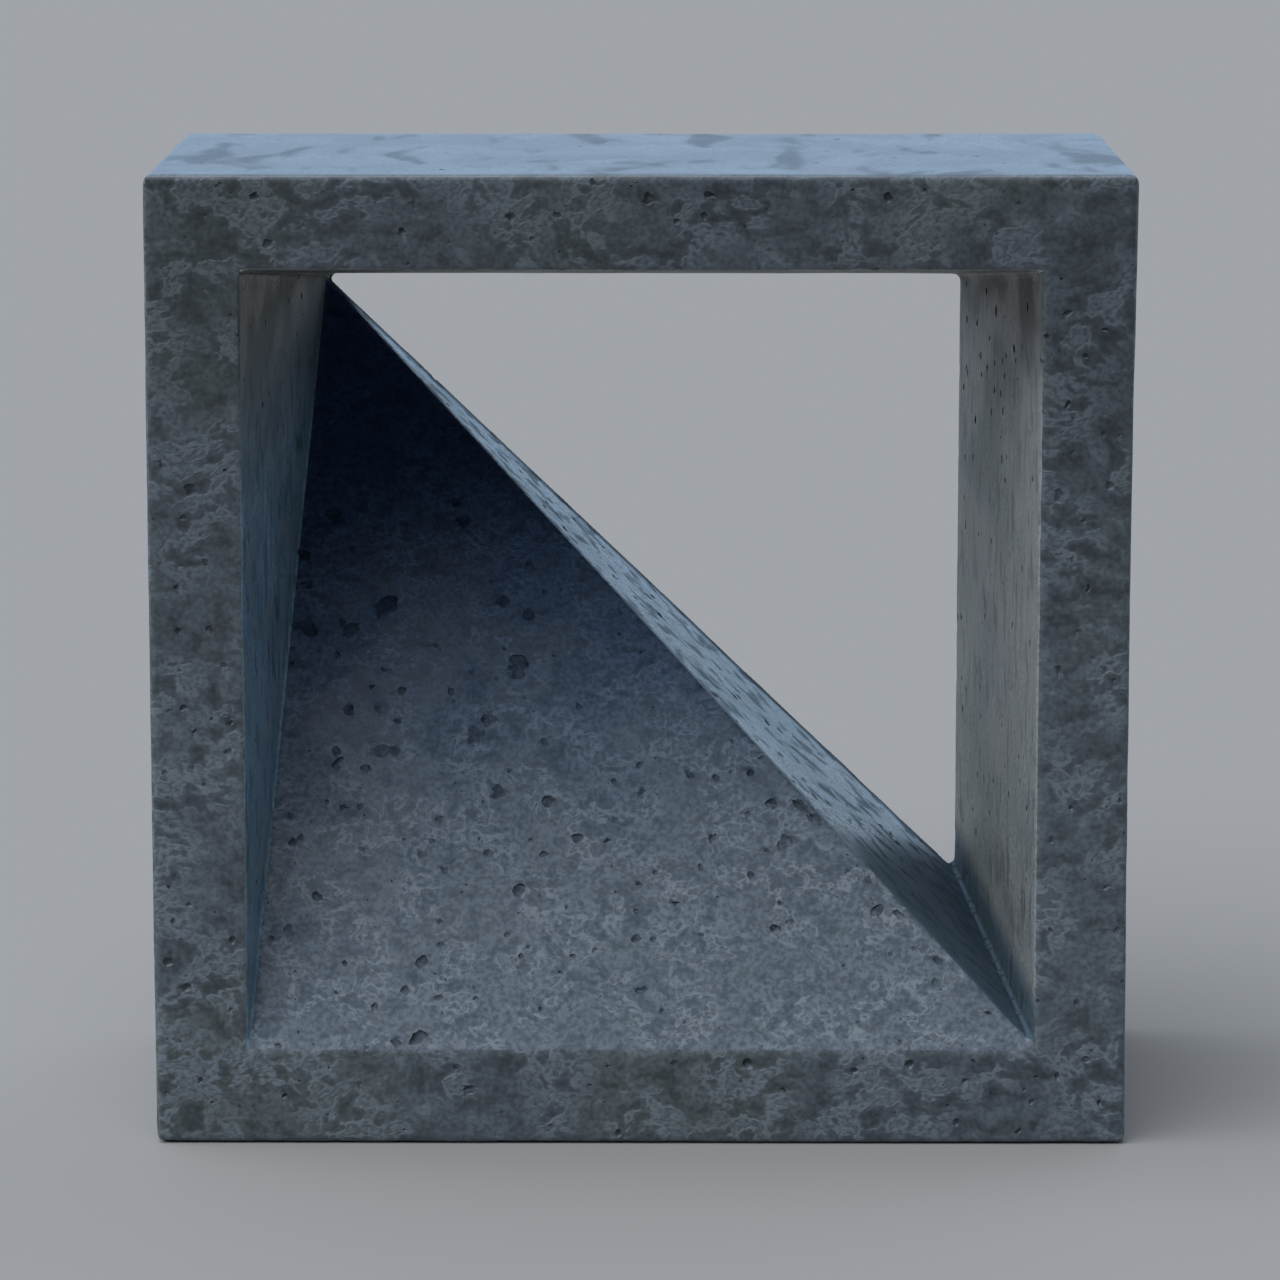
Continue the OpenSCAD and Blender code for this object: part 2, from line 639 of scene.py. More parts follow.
class LumpBatch:
    """Collects uneven lumps that are cut out of the casting as air holes and chips.

    Attributes:
        coarse_below: Radius below which a lump gets the coarsest mesh.
        fine_above: Radius above which it gets the finest mesh.
        unevenness: Height of the bumps on a lump, over its radius.
        bump_turns: How tightly the broad and the narrow bumps are spaced.
        bump_heights: Share of the broad and of the narrow bumps.
        bumps_each: Number of bumps of each kind.
    """

    coarse_below: float = 0.55 * MILLIMETRE
    fine_above: float = 1.3 * MILLIMETRE
    unevenness: float = 0.26
    bump_turns: tuple[float, float] = (1.9, 4.0)
    bump_heights: tuple[float, float] = (0.5, 0.3)
    bumps_each: int = 4

    def __init__(self, rng: np.random.Generator) -> None:
        """Starts an empty batch.

        Args:
            rng: Seeded source of numbers.
        """
        self.rng = rng
        self.points: list[np.ndarray] = []
        self.triangles: list[np.ndarray] = []
        self.spots: list[np.ndarray] = []
        self.sizes: list[float] = []
        self.used = 0
        self.balls = {level: self.ball(level) for level in (1, 2, 3)}

    @staticmethod
    def ball(level: int) -> tuple[np.ndarray, np.ndarray]:
        """Makes a unit ball.

        Args:
            level: How often its faces are divided.

        Returns:
            Its points and its triangles.
        """
        shape = bmesh.new()
        bmesh.ops.create_icosphere(shape, subdivisions=level, radius=1.0)
        points = np.array([v.co[:] for v in shape.verts])
        triangles = np.array([[v.index for v in f.verts] for f in shape.faces])
        shape.free()
        return points, triangles

    def crowded(self, place: np.ndarray, radius: float, room: float = 1.5) -> bool:
        """Tells whether a lump would run into one that is already there.

        Args:
            place: Middle of the lump's mouth.
            radius: Radius of its mouth.
            room: Least gap between middles, over the sum of the radii.

        Returns:
            True if the lump is too near another.
        """
        if not self.spots:
            return False
        gaps = np.linalg.norm(np.array(self.spots) - place, axis=1)
        return bool(np.any(gaps < room * (np.array(self.sizes) + radius)))

    def add(
        self,
        place: np.ndarray,
        normal: np.ndarray,
        radius: float,
        depth: float,
        lift: float,
        stretch: float = 1.2,
        along: Optional[np.ndarray] = None,
    ) -> None:
        """Adds one lump.

        Args:
            place: Middle of the lump's mouth.
            normal: Outward normal of the surface there.
            radius: Radius of the mouth.
            depth: Height of the lump over its radius.
            lift: How far its middle stands out of the surface, over its height.
            stretch: Length of the mouth over its width.
            along: Direction of that length, or none for any direction.
        """
        level = 1 if radius < self.coarse_below else 3 if radius > self.fine_above else 2
        ball, triangles = self.balls[level]
        up = normal / np.linalg.norm(normal)
        guide = self.rng.normal(size=3) if along is None else along
        side = guide - up * (guide @ up)
        side /= np.linalg.norm(side)
        other = np.cross(up, side)
        turns = np.repeat(self.bump_turns, self.bumps_each)
        waves = self.rng.normal(size=(len(turns), 3)) * turns[:, None]
        phases = self.rng.uniform(0.0, 2.0 * math.pi, len(turns))
        bumps = np.sin(ball @ waves.T + phases) @ np.repeat(self.bump_heights, self.bumps_each)
        lump = ball * (1.0 + self.unevenness * bumps)[:, None]
        local = lump * np.array([math.sqrt(stretch), 1.0 / math.sqrt(stretch), depth]) * radius
        local[:, 2] += lift * depth * radius
        self.points.append(place + local @ np.array([side, other, up]))
        self.triangles.append(triangles + self.used)
        self.spots.append(place)
        self.sizes.append(radius)
        self.used += len(ball)

    def to_object(self, name: str) -> bpy.types.Object:
        """Joins the lumps into one object.

        Args:
            name: Name of the object.

        Returns:
            The object, linked to the scene.
        """
        mesh = bpy.data.meshes.new(name)
        mesh.from_pydata(np.concatenate(self.points), [], np.concatenate(self.triangles))
        mesh.materials.append(bpy.data.materials.new(name))
        thing = bpy.data.objects.new(name, mesh)
        bpy.context.scene.collection.objects.link(thing)
        return thing


@dataclass
class Casting:
    """The cast block: its worn shape, air holes and chips.

    Attributes:
        solid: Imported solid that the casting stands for.
        plan: Main sizes of the block.
        view: Camera through which the main holes are placed.
        holes: Scatters of air holes.
        seen_holes: Column, row and width in the photograph of each main hole.
        seen_chips: Column, row and width in the photograph of each main chip.
        seed: Number that fixes wear and holes.
        voxel: Size of a face of the fine mesh.
        weld: Distance within which points of the solid are joined.
        snap: Distance within which a cut runs through a point that is there already.
        edge_passes: Rounds of smoothing that round the edges.
        usual_wear: Share of that rounding which most places keep.
        wear_spread: How much the share changes from place to place.
        least_wear: Least share.
        most_wear: Greatest share.
        drift_cell: Length of a stretch of edge with about the same wear.
        nick_cell: Length of a nick.
        nick_gain: How steeply a nick deepens with the noise that makes it.
        nick_start: Level that this noise, times the gain, passes before a nick starts.
        bite: Depth of the nicks.
        bite_reach: Distance from an arris to which they reach.
        swell: Depth of the broad swell of the faces.
        swell_cell: Breadth of the swell.
        ripple: Depth of the ripples.
        ripple_cell: Breadth of a ripple.
        dimple: Depth of the dimples.
        dimple_cell: Breadth of a dimple.
        trowel_share: Share of ripples and dimples that the trowel took off the top.
        trowel_reach: Depth below the top that counts as the top.
        side_bow: How far the right side bows in.
        flat_faces: Number of faces that the flat parts are thinned to.
        seam_clear: Distance from the seam within which no hole is scattered.
        join_reach: Distance from a join within which its faces are sorted by the join.
        lean_cost: Distance that counts as much as a right angle between face and zone.
        arris_reach: Breadth of the paler arrises.
        crease_degrees: Angle above which an edge is shaded sharp.
        hole_fit: Radius of a main hole over its width in the photograph.
        hole_depth: Range of its depth over its radius.
        hole_lift: How far its middle stands out, over its depth.
        chip_fit: Radius of a main chip over its width in the photograph.
        chip_shape: Depth, lift and stretch of a main chip.
        nick_spacing: Length of arris for each small chip.
        nick_span: Range of places along an arris that a small chip may take.
        nick_millimetres: Range of its radius in millimetres.
        nick_shape: Its depth and lift.
        nick_stretch: Range of its stretch.
        pit_depth: Range of the depth of a scattered hole over its radius.
        pit_lift: Range of how far its middle stands out.
    """

    solid: bpy.types.Object
    plan: BlockPlan
    view: Viewpoint
    holes: Sequence[AirHoles]
    seen_holes: Sequence[Point]
    seen_chips: Sequence[Point]
    seed: int = 11
    voxel: float = 0.8 * MILLIMETRE
    weld: float = 0.002 * MILLIMETRE
    snap: float = 0.02 * MILLIMETRE
    edge_passes: int = 4
    usual_wear: float = 0.65
    wear_spread: float = 0.3
    least_wear: float = 0.3
    most_wear: float = 1.2
    drift_cell: float = 9.0 * MILLIMETRE
    nick_cell: float = 2.6 * MILLIMETRE
    nick_gain: float = 1.2
    nick_start: float = 0.3
    bite: float = 0.32 * MILLIMETRE
    bite_reach: float = 1.6 * MILLIMETRE
    swell: float = 0.22 * MILLIMETRE
    swell_cell: float = 48.0 * MILLIMETRE
    ripple: float = 0.12 * MILLIMETRE
    ripple_cell: float = 11.0 * MILLIMETRE
    dimple: float = 0.07 * MILLIMETRE
    dimple_cell: float = 4.2 * MILLIMETRE
    trowel_share: float = 0.75
    trowel_reach: float = 0.5 * MILLIMETRE
    side_bow: float = 0.5 * MILLIMETRE
    flat_faces: int = 90000
    seam_clear: float = 3.5 * MILLIMETRE
    join_reach: float = 3.0 * MILLIMETRE
    lean_cost: float = 4.0 * MILLIMETRE
    arris_reach: float = 2.2 * MILLIMETRE
    crease_degrees: float = 48.0
    hole_fit: float = 0.62
    hole_depth: tuple[float, float] = (0.7, 1.0)
    hole_lift: float = 0.55
    chip_fit: float = 0.5
    chip_shape: tuple[float, float, float] = (0.7, 0.35, 1.8)
    nick_spacing: float = 16.0 * MILLIMETRE
    nick_span: tuple[float, float] = (0.03, 0.97)
    nick_millimetres: tuple[float, float] = (0.5, 1.3)
    nick_shape: tuple[float, float] = (0.55, 0.45)
    nick_stretch: tuple[float, float] = (1.2, 3.0)
    pit_depth: tuple[float, float] = (0.45, 0.95)
    pit_lift: tuple[float, float] = (0.0, 0.4)

    @property
    def seam(self) -> SeamHollow:
        """The hollow along the seam."""
        return SeamHollow(self.plan)

    def build(self) -> bpy.types.Object:
        """Makes the whole casting.

        Returns:
            The finished object, without its finish.
        """
        piece = self.copy_solid()
        self.remesh(piece)
        self.group_seam(piece)
        self.wear(piece)
        self.thin(piece)
        self.split(piece)
        MeshKit.place(piece.data, self.seam.seat(MeshKit.positions(piece.data)))
        self.cut(piece)
        self.mark_edges(piece.data)
        piece.data.shade_smooth()
        piece.data.set_sharp_from_angle(angle=math.radians(self.crease_degrees))
        LOG.info("casting: %d triangles", len(piece.data.polygons))
        return piece

    def copy_solid(self) -> bpy.types.Object:
        """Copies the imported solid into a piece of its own.

        Returns:
            The new object, closed and linked to the scene.
        """
        mesh = self.solid.data.copy()
        mesh.name = "cast_block"
        mesh.materials.clear()
        shape = bmesh.new()
        shape.from_mesh(mesh)
        bmesh.ops.remove_doubles(shape, verts=shape.verts, dist=self.weld)
        shape.to_mesh(mesh)
        shape.free()
        piece = bpy.data.objects.new("cast_block", mesh)
        bpy.context.scene.collection.objects.link(piece)
        return piece

    def remesh(self, piece: bpy.types.Object) -> None:
        """Gives the piece an even fine mesh that lies on the solid.

        Args:
            piece: Object to change.
        """
        voxels = piece.modifiers.new("voxels", "REMESH")
        voxels.mode = "VOXEL"
        voxels.voxel_size = self.voxel
        seat = piece.modifiers.new("seat", "SHRINKWRAP")
        seat.target = self.solid
        seat.wrap_method = "NEAREST_SURFACEPOINT"
        MeshKit.apply_modifiers(piece)
        LOG.info("fine mesh: %d faces", len(piece.data.polygons))

    def group_seam(self, piece: bpy.types.Object) -> None:
        """Groups the vertices near the seam, so that the mesh stays fine there.

        Args:
            piece: Object to change.
        """
        gaps = MeshKit.edge_distance(MeshKit.positions(piece.data), [self.plan.seam()])
        group = piece.vertex_groups.new(name=SEAM_GROUP)
        group.add(np.flatnonzero(gaps < self.seam.reach()).tolist(), 1.0, "REPLACE")

    def wear(self, piece: bpy.types.Object) -> None:
        """Rounds the edges unevenly and lets the faces swell and ripple inwards.

        Args:
            piece: Object to change.
        """
        sharp = MeshKit.positions(piece.data)
        soften = piece.modifiers.new("soften", "SMOOTH")
        soften.factor = 0.5
        soften.iterations = self.edge_passes
        MeshKit.apply_modifiers(piece)
        soft = MeshKit.positions(piece.data)
        normals = MeshKit.normals(piece.data)
        drift, nicks, swell, ripple, dimple = (
            LatticeNoise(self.seed + number, cell).at(sharp)
            for number, cell in enumerate(
                (self.drift_cell, self.nick_cell, self.swell_cell, self.ripple_cell, self.dimple_cell)
            )
        )
        share = self.usual_wear + self.wear_spread * drift + self.wear_spread * nicks
        share = np.clip(share, self.least_wear, self.most_wear)
        points = sharp + (soft - sharp) * share[:, None]
        low = np.array(self.plan.low)
        high = np.array(self.plan.high)
        rough = 1.0 - self.trowel_share * (sharp[:, 2] > high[2] - self.trowel_reach)
        inwards = self.swell * (0.5 - 0.5 * swell)
        inwards += rough * self.ripple * (0.5 - 0.5 * ripple)
        inwards += rough * self.dimple * (0.5 - 0.5 * dimple)
        edges = self.plan.box_edges() + self.plan.mouth_edges()
        near = np.clip(1.0 - MeshKit.edge_distance(sharp, edges) / self.bite_reach, 0.0, 1.0)
        inwards += self.bite * near * np.clip(self.nick_gain * nicks - self.nick_start, 0.0, 1.0)
        points -= normals * inwards[:, None]
        height = (points[:, 2] - low[2]) / (high[2] - low[2])
        across = np.clip(points[:, 0] / high[0], 0.0, 1.0)
        points[:, 0] -= self.side_bow * 4.0 * height * (1.0 - height) * across ** 3
        MeshKit.place(piece.data, np.clip(points, low, high))

    def thin(self, piece: bpy.types.Object) -> None:
        """Takes faces out where the surface is flat.

        Args:
            piece: Object to change.
        """
        fewer = piece.modifiers.new("fewer", "DECIMATE")
        fewer.decimate_type = "COLLAPSE"
        fewer.use_collapse_triangulate = True
        fewer.ratio = self.flat_faces / (2.0 * len(piece.data.polygons))
        fewer.vertex_group = SEAM_GROUP
        fewer.invert_vertex_group = True
        MeshKit.apply_modifiers(piece)

    def halfway(self, join: Join) -> Vector:
        """Gives the normal of the plane that lies halfway between two zones.

        Args:
            join: Line in which the zones meet.

        Returns:
            The normal, which points to the first zone.
        """
        planes = self.plan.planes()
        normal = planes[join.first][1] - planes[join.second][1]
        return -normal if join.hollow else normal

    def split(self, piece: bpy.types.Object) -> None:
        """Cuts the lines in which two finishes meet into the mesh, so that they run straight.

        Args:
            piece: Object to change.
        """
        centres, _, _ = MeshKit.faces(piece.data)
        shape = bmesh.new()
        shape.from_mesh(piece.data)
        shape.faces.ensure_lookup_table()
        nearby = []
        for join in self.plan.joins():
            gaps = MeshKit.edge_distance(centres, [(join.start, join.end)])
            nearby.append([shape.faces[i] for i in np.flatnonzero(gaps < self.join_reach)])
        for join, faces in zip(self.plan.joins(), nearby):
            parts: set[Any] = set(faces)
            for face in faces:
                parts.update(face.edges)
                parts.update(face.verts)
            rest = self.bisect(shape, list(parts), join.start, self.halfway(join))
            if {join.first, join.second} == {Zone.SLANT, Zone.RIGHT_WALL}:
                axis = self.seam.axes()[0]
                for normal in self.seam.cuts():
                    rest = self.bisect(shape, rest, axis, normal)
        bmesh.ops.triangulate(shape, faces=[f for f in shape.faces if len(f.verts) > 3])
        shape.to_mesh(piece.data)
        shape.free()

    def bisect(
        self, shape: bmesh.types.BMesh, parts: list[Any], point: Vector, normal: Vector
    ) -> list[Any]:
        """Cuts a straight line into some of a mesh.

        Args:
            shape: Mesh to change.
            parts: Vertices, edges and faces that may be cut.
            point: Point of the cutting plane.
            normal: Normal of the cutting plane.

        Returns:
            The parts, with those that the cut adds.
        """
        done = bmesh.ops.bisect_plane(
            shape, geom=parts, dist=self.snap, plane_co=point, plane_no=normal
        )
        return done["geom"]

    def zones(self, mesh: bpy.types.Mesh) -> np.ndarray:
        """Finds the side of the casting that each face belongs to.

        Args:
            mesh: Mesh to sort.

        Returns:
            The value of a zone for each face.
        """
        centres, normals, _ = MeshKit.faces(mesh)
        best = np.full(len(centres), np.inf)
        found = np.zeros(len(centres), int)
        for zone, (point, normal) in self.plan.planes().items():
            away = np.abs((centres - np.array(point)) @ np.array(normal))
            cost = away + self.lean_cost * (1.0 - normals @ np.array(normal))
            nearer = cost < best
            best[nearer] = cost[nearer]
            found[nearer] = zone.value
        for join in self.plan.joins():
            gaps = MeshKit.edge_distance(centres, [(join.start, join.end)])
            share = MeshKit.edge_share(centres, join.start, join.end)
            chosen = (gaps < self.join_reach) & (share > 0.0) & (share < 1.0)
            chosen &= np.isin(found, (join.first.value, join.second.value))
            ahead = (centres - np.array(join.start)) @ np.array(self.halfway(join)) > 0.0
            found[chosen & ahead] = join.first.value
            found[chosen & ~ahead] = join.second.value
        return found

    def cut(self, piece: bpy.types.Object) -> None:
        """Cuts the air holes and chips.

        Args:
            piece: Object to change.
        """
        rng = np.random.default_rng(self.seed)
        lumps = LumpBatch(rng)
        self.add_seen(piece, lumps)
        self.add_chips(lumps)
        self.add_scatters(piece.data, lumps)
        cutter = lumps.to_object(HOLE_MARK)
        plain = bpy.data.materials.new("plain")
        piece.data.materials.append(plain)
        cut = piece.modifiers.new("holes", "BOOLEAN")
        cut.operation = "DIFFERENCE"
        cut.solver = "MANIFOLD"
        cut.material_mode = "TRANSFER"
        cut.object = cutter
        MeshKit.apply_modifiers(piece)
        names = [m.name if m else "" for m in piece.data.materials]
        index = MeshKit.read(piece.data.polygons, "material_index", 1, np.int32)[:, 0]
        hollow = (index == names.index(HOLE_MARK)).astype(float)
        MeshKit.mark(piece.data, HOLE_MARK, "FACE", hollow)
        bpy.data.objects.remove(cutter)
        bpy.data.materials.remove(plain)
        LOG.info("holes and chips: %d, %d faces in them", len(lumps.spots), int(hollow.sum()))

    def add_seen(self, piece: bpy.types.Object, lumps: LumpBatch) -> None:
        """Adds the holes and chips that show most, where the photograph shows them.

        Args:
            piece: Casting that is to be cut.
            lumps: Batch that takes the lumps.
        """
        tree = BVHTree.FromObject(piece, bpy.context.evaluated_depsgraph_get())
        eye = Vector(self.view.place)
        for column, row, width in self.seen_holes:
            place, normal, _, distance = tree.ray_cast(eye, self.view.sight_line(column, row))
            if place is None:
                continue
            radius = self.hole_fit * width * distance * self.view.pixel_span()
            depth = lumps.rng.uniform(*self.hole_depth)
            lumps.add(np.array(place), np.array(normal), radius, depth, self.hole_lift)
        diagonal = np.array((self.plan.tip - self.plan.foot).normalized())
        for column, row, width in self.seen_chips:
            place, normal, _, distance = tree.ray_cast(eye, self.view.sight_line(column, row))
            if place is None:
                continue
            radius = self.chip_fit * width * distance * self.view.pixel_span()
            lumps.add(np.array(place), np.array(normal), radius, *self.chip_shape, diagonal)

    def add_chips(self, lumps: LumpBatch) -> None:
        """Adds small chips along the arrises.

        Args:
            lumps: Batch that takes the lumps.
        """
        rng = lumps.rng
        middle = np.array((self.plan.low + self.plan.high) / 2.0)
        for start, end in self.plan.box_edges():
            origin = np.array(start)
            run = np.array(end) - origin
            length = float(np.linalg.norm(run))
            along = run / length
            outward = (origin + run / 2.0) - middle
            outward -= along * (outward @ along)
            outward = np.sign(np.where(np.abs(outward) > MILLIMETRE, outward, 0.0)) / math.sqrt(2.0)
            for _ in range(int(length / self.nick_spacing)):
                place = origin + run * rng.uniform(*self.nick_span)
                radius = rng.uniform(*self.nick_millimetres) * MILLIMETRE
                if lumps.crowded(place, radius):
                    continue
                lumps.add(place, outward, radius, *self.nick_shape, rng.uniform(*self.nick_stretch), along)

    def add_scatters(self, mesh: bpy.types.Mesh, lumps: LumpBatch) -> None:
        """Adds the scattered air holes.

        Args:
            mesh: Mesh of triangles that is to be cut.
            lumps: Batch that takes the lumps.
        """
        rng = lumps.rng
        _, normals, areas = MeshKit.faces(mesh)
        zones = self.zones(mesh)
        triangles = MeshKit.positions(mesh)[MeshKit.corners(mesh)]
        for scatter in self.holes:
            members = np.flatnonzero(zones == scatter.zone.value)
            picks = rng.choice(members, scatter.count, p=areas[members] / areas[members].sum())
            weights = rng.dirichlet((1.0, 1.0, 1.0), scatter.count)
            places = np.einsum("ij,ijk->ik", weights, triangles[picks])
            clear = MeshKit.edge_distance(places, [self.plan.seam()]) > self.seam_clear
            for place, normal, radius, free in zip(places, normals[picks], scatter.radii(rng), clear):
                if not free or lumps.crowded(place, radius):
                    continue
                depth = rng.uniform(*self.pit_depth)
                lumps.add(place, normal, radius, depth, rng.uniform(*self.pit_lift))

    def mark_edges(self, mesh: bpy.types.Mesh) -> None:
        """Marks how near each vertex lies to an arris.

        Args:
            mesh: Mesh to mark.
        """
        edges = self.plan.box_edges() + self.plan.mouth_edges()
        gaps = MeshKit.edge_distance(MeshKit.positions(mesh), edges)
        MeshKit.mark(mesh, ARRIS_MARK, "POINT", np.clip(1.0 - gaps / self.arris_reach, 0.0, 1.0))


class NodeSheet:
    """Lays out shader nodes, with lengths in millimetres.

    Attributes:
        mix_share: Number of the mix node's input for the share.
        mix_first: Number of its input for the first colour.
        mix_second: Number of its input for the second colour.
        mix_result: Number of its output for a colour.
        noise_shift: Shift of a noise for each unit of its seed.
        shove_shift: Shift of a push for each unit of its seed.
    """

    mix_share: int = 0
    mix_first: int = 6
    mix_second: int = 7
    mix_result: int = 2
    noise_shift: Point = (7.3, -4.1, 11.9)
    shove_shift: Point = (3.7, 8.9, -6.1)

    def __init__(self, tree: bpy.types.NodeTree) -> None:
        """Starts on a node tree.

        Args:
            tree: Tree that takes the nodes.
        """
        self.tree = tree
        place = self.add("ShaderNodeTexCoord").outputs["Object"]
        self.place = self.vector("SCALE", place, 1.0 / MILLIMETRE)

    def add(self, kind: str, **settings: Any) -> bpy.types.Node:
        """Adds a node.

        Args:
            kind: Blender's name for the kind of node.
            settings: Options of the node.

        Returns:
            The new node.
        """
        node = self.tree.nodes.new(kind)
        for name, value in settings.items():
            setattr(node, name, value)
        return node

    def feed(self, socket: Socket, source: Source) -> None:
        """Sets or links an input.

        Args:
            socket: Input to feed.
            source: Number, colour or output.
        """
        if isinstance(source, Socket):
            self.tree.links.new(source, socket)
        elif isinstance(source, tuple) and socket.type == "RGBA":
            socket.default_value = (*source, 1.0)
        else:
            socket.default_value = source

    def texture(
        self, place: Socket, size: Sequence[float], shift: Sequence[float], detail: float, rough: float
    ) -> bpy.types.Node:
        """Adds a noise texture.

        Args:
            place: Position to read it at.
            size: Size of a lump along each axis.
            shift: Shift of the pattern along each axis, in lumps.
            detail: Number of finer layers.
            rough: Strength of each finer layer.

        Returns:
            The texture node.
        """
        fit = self.add("ShaderNodeMapping")
        self.feed(fit.inputs["Vector"], place)
        fit.inputs["Scale"].default_value = [1.0 / length for length in size]
        fit.inputs["Location"].default_value = shift
        texture = self.add("ShaderNodeTexNoise")
        self.feed(texture.inputs["Vector"], fit.outputs["Vector"])
        texture.inputs["Scale"].default_value = 1.0
        texture.inputs["Detail"].default_value = detail
        texture.inputs["Roughness"].default_value = rough
        return texture

    def noise(
        self, size: Point, seed: float, detail: float, rough: float = 0.5, place: Optional[Socket] = None
    ) -> Socket:
        """Adds smooth noise.

        Args:
            size: Size of a lump along each axis.
            seed: Number that shifts the pattern.
            detail: Number of finer layers.
            rough: Strength of each finer layer.
            place: Position to use in place of the plain one.

        Returns:
            A value about one half.
        """
        spot = self.place if place is None else place
        shift = [seed * step for step in self.noise_shift]
        return self.texture(spot, size, shift, detail, rough).outputs["Fac"]

    def shove(self, amount: float, size: float, seed: float) -> tuple[Socket, Socket]:
        """Pushes the position about, so that patterns built on it wander.

        Args:
            amount: Greatest push.
            size: Size of one bend.
            seed: Number that shifts the pattern.

        Returns:
            The pushed position, and a value about one half that wanders with it.
        """
        shift = [seed * step for step in self.shove_shift]
        texture = self.texture(self.place, (size,) * 3, shift, 0.0, 0.5)
        push = self.add("ShaderNodeVectorMath", operation="MULTIPLY_ADD")
        self.feed(push.inputs[0], texture.outputs["Color"])
        push.inputs[1].default_value = (2.0 * amount,) * 3
        self.feed(push.inputs[2], self.place)
        return push.outputs["Vector"], texture.outputs["Fac"]

    def step(
        self, value: Source, low: float, high: float, start: float = 0.0, end: float = 1.0
    ) -> Socket:
        """Turns a value smoothly from one level to another.

        Args:
            value: Value to read.
            low: Value at which the turn starts.
            high: Value at which it ends.
            start: Level before the turn.
            end: Level after it.

        Returns:
            The level.
        """
        node = self.add("ShaderNodeMapRange", interpolation_type="SMOOTHSTEP")
        self.feed(node.inputs["Value"], value)
        node.inputs["From Min"].default_value = low
        node.inputs["From Max"].default_value = high
        node.inputs["To Min"].default_value = start
        node.inputs["To Max"].default_value = end
        return node.outputs["Result"]

    def maths(self, operation: str, first: Source, second: Source = 0.0) -> Socket:
        """Adds a sum.

        Args:
            operation: Blender's name for the sum.
            first: First number.
            second: Second number.

        Returns:
            The result.
        """
        node = self.add("ShaderNodeMath", operation=operation)
        self.feed(node.inputs[0], first)
        if len(node.inputs) > 1:
            self.feed(node.inputs[1], second)
        return node.outputs[0]

    def mix(self, share: Source, first: Source, second: Source, blend: str = "MIX") -> Socket:
        """Mixes two colours.

        Args:
            share: Share of the second colour.
            first: First colour.
            second: Second colour.
            blend: Blender's name for the way of mixing.

        Returns:
            The mixed colour.
        """
        node = self.add("ShaderNodeMix", data_type="RGBA", blend_type=blend)
        self.feed(node.inputs[self.mix_share], share)
        self.feed(node.inputs[self.mix_first], first)
        self.feed(node.inputs[self.mix_second], second)
        return node.outputs[self.mix_result]

    def vector(self, operation: str, first: Source, second: Source) -> Socket:
        """Adds a sum of two vectors, or of a vector and a number.

        Args:
            operation: Blender's name for the sum.
            first: First vector.
            second: Second vector, or the number to scale by.

        Returns:
            A number for a product or a distance, and else a vector.
        """
        node = self.add("ShaderNodeVectorMath", operation=operation)
        self.feed(node.inputs[0], first)
        self.feed(node.inputs["Scale" if operation == "SCALE" else 1], second)
        return node.outputs["Value" if operation in ("DOT_PRODUCT", "DISTANCE") else "Vector"]

    def mark(self, name: str) -> Socket:
        """Reads a mark that the mesh carries."""
        return self.add("ShaderNodeAttribute", attribute_name=name).outputs["Fac"]

    def line_distance(self, start: Point, end: Point) -> Socket:
        """Measures the distance from a straight line.

        Args:
            start: One point of the line.
            end: Another point of the line.

        Returns:
            The distance.
        """
        offset = self.vector("SUBTRACT", self.place, start)
        course = tuple((Vector(end) - Vector(start)).normalized())
        foot = self.vector("SCALE", course, self.vector("DOT_PRODUCT", offset, course))
        return self.vector("DISTANCE", offset, foot)

    def side_distance(self, start: Point, aim: Point) -> Socket:
        """Measures the distance past a plane through a point, below zero behind the plane."""
        return self.vector("DOT_PRODUCT", self.vector("SUBTRACT", self.place, start), aim)

    def height(self) -> Socket:
        """Reads the height above the ground."""
        parts = self.add("ShaderNodeSeparateXYZ")
        self.feed(parts.inputs[0], self.place)
        return parts.outputs["Z"]

    def facing(self, aim: Point) -> Socket:
        """Tells how far the surface faces a direction, from minus one to one."""
        return self.vector("DOT_PRODUCT", self.add("ShaderNodeNewGeometry").outputs["Normal"], aim)


@dataclass(frozen=True)
class StainAndPaintedLightLine:
    """Band of colour along a straight edge, used for stains, painted shade and painted highlights. Lengths
    are in millimetres.

    Attributes:
        start: One end of the edge.
        end: Other end of the edge.
        near: Distance up to which the band is full.
        far: Distance at which it ends.
        tint: Colour of the band.
        share: Strength of the band, from 0 to 1.
        blend: Blender's name for the way in which it mixes.
        dull: Roughness that the band adds.
        relief: Height of the relief under the band, over that beside it.
    """

    start: Point
    end: Point
    near: float
    far: float
    tint: Colour
    share: float
    blend: str = "MIX"
    dull: float = 0.0
    relief: float = 1.0

    def gap(self, sheet: NodeSheet) -> Socket:
        """Measures the distance from the edge."""
        return sheet.line_distance(self.start, self.end)

    def level(self, sheet: NodeSheet, under: float, beside: float) -> Socket:
        """Gives a level that turns from one value under the band to another beside it."""
        return sheet.step(self.gap(sheet), self.near, self.far, under, beside)

    def lay(self, sheet: NodeSheet, shade: Socket) -> Socket:
        """Lays the band over a colour."""
        return sheet.mix(self.level(sheet, self.share, 0.0), shade, self.tint, self.blend)


@dataclass(frozen=True)
class PaintedShadowSide(StainAndPaintedLightLine):
    """Painted shadow that covers all of a surface on one side of a line.

    Attributes:
        aim: Unit direction from the line to the side without the painted shadow.
    """

    aim: Point = (0.0, 0.0, 1.0)

    def gap(self, sheet: NodeSheet) -> Socket:
        """Measures the distance past the line, below zero on the shadowed side."""
        return sheet.side_distance(self.start, self.aim)


class Seed(float, Enum):
    """Numbers that shift the noise patterns apart."""

    PUSH = 1.0
    FLOW = 3.0
    SPECKLE = 5.0
    CLOUD = 8.0
    MOSS = 9.0
    WAVE = 14.0


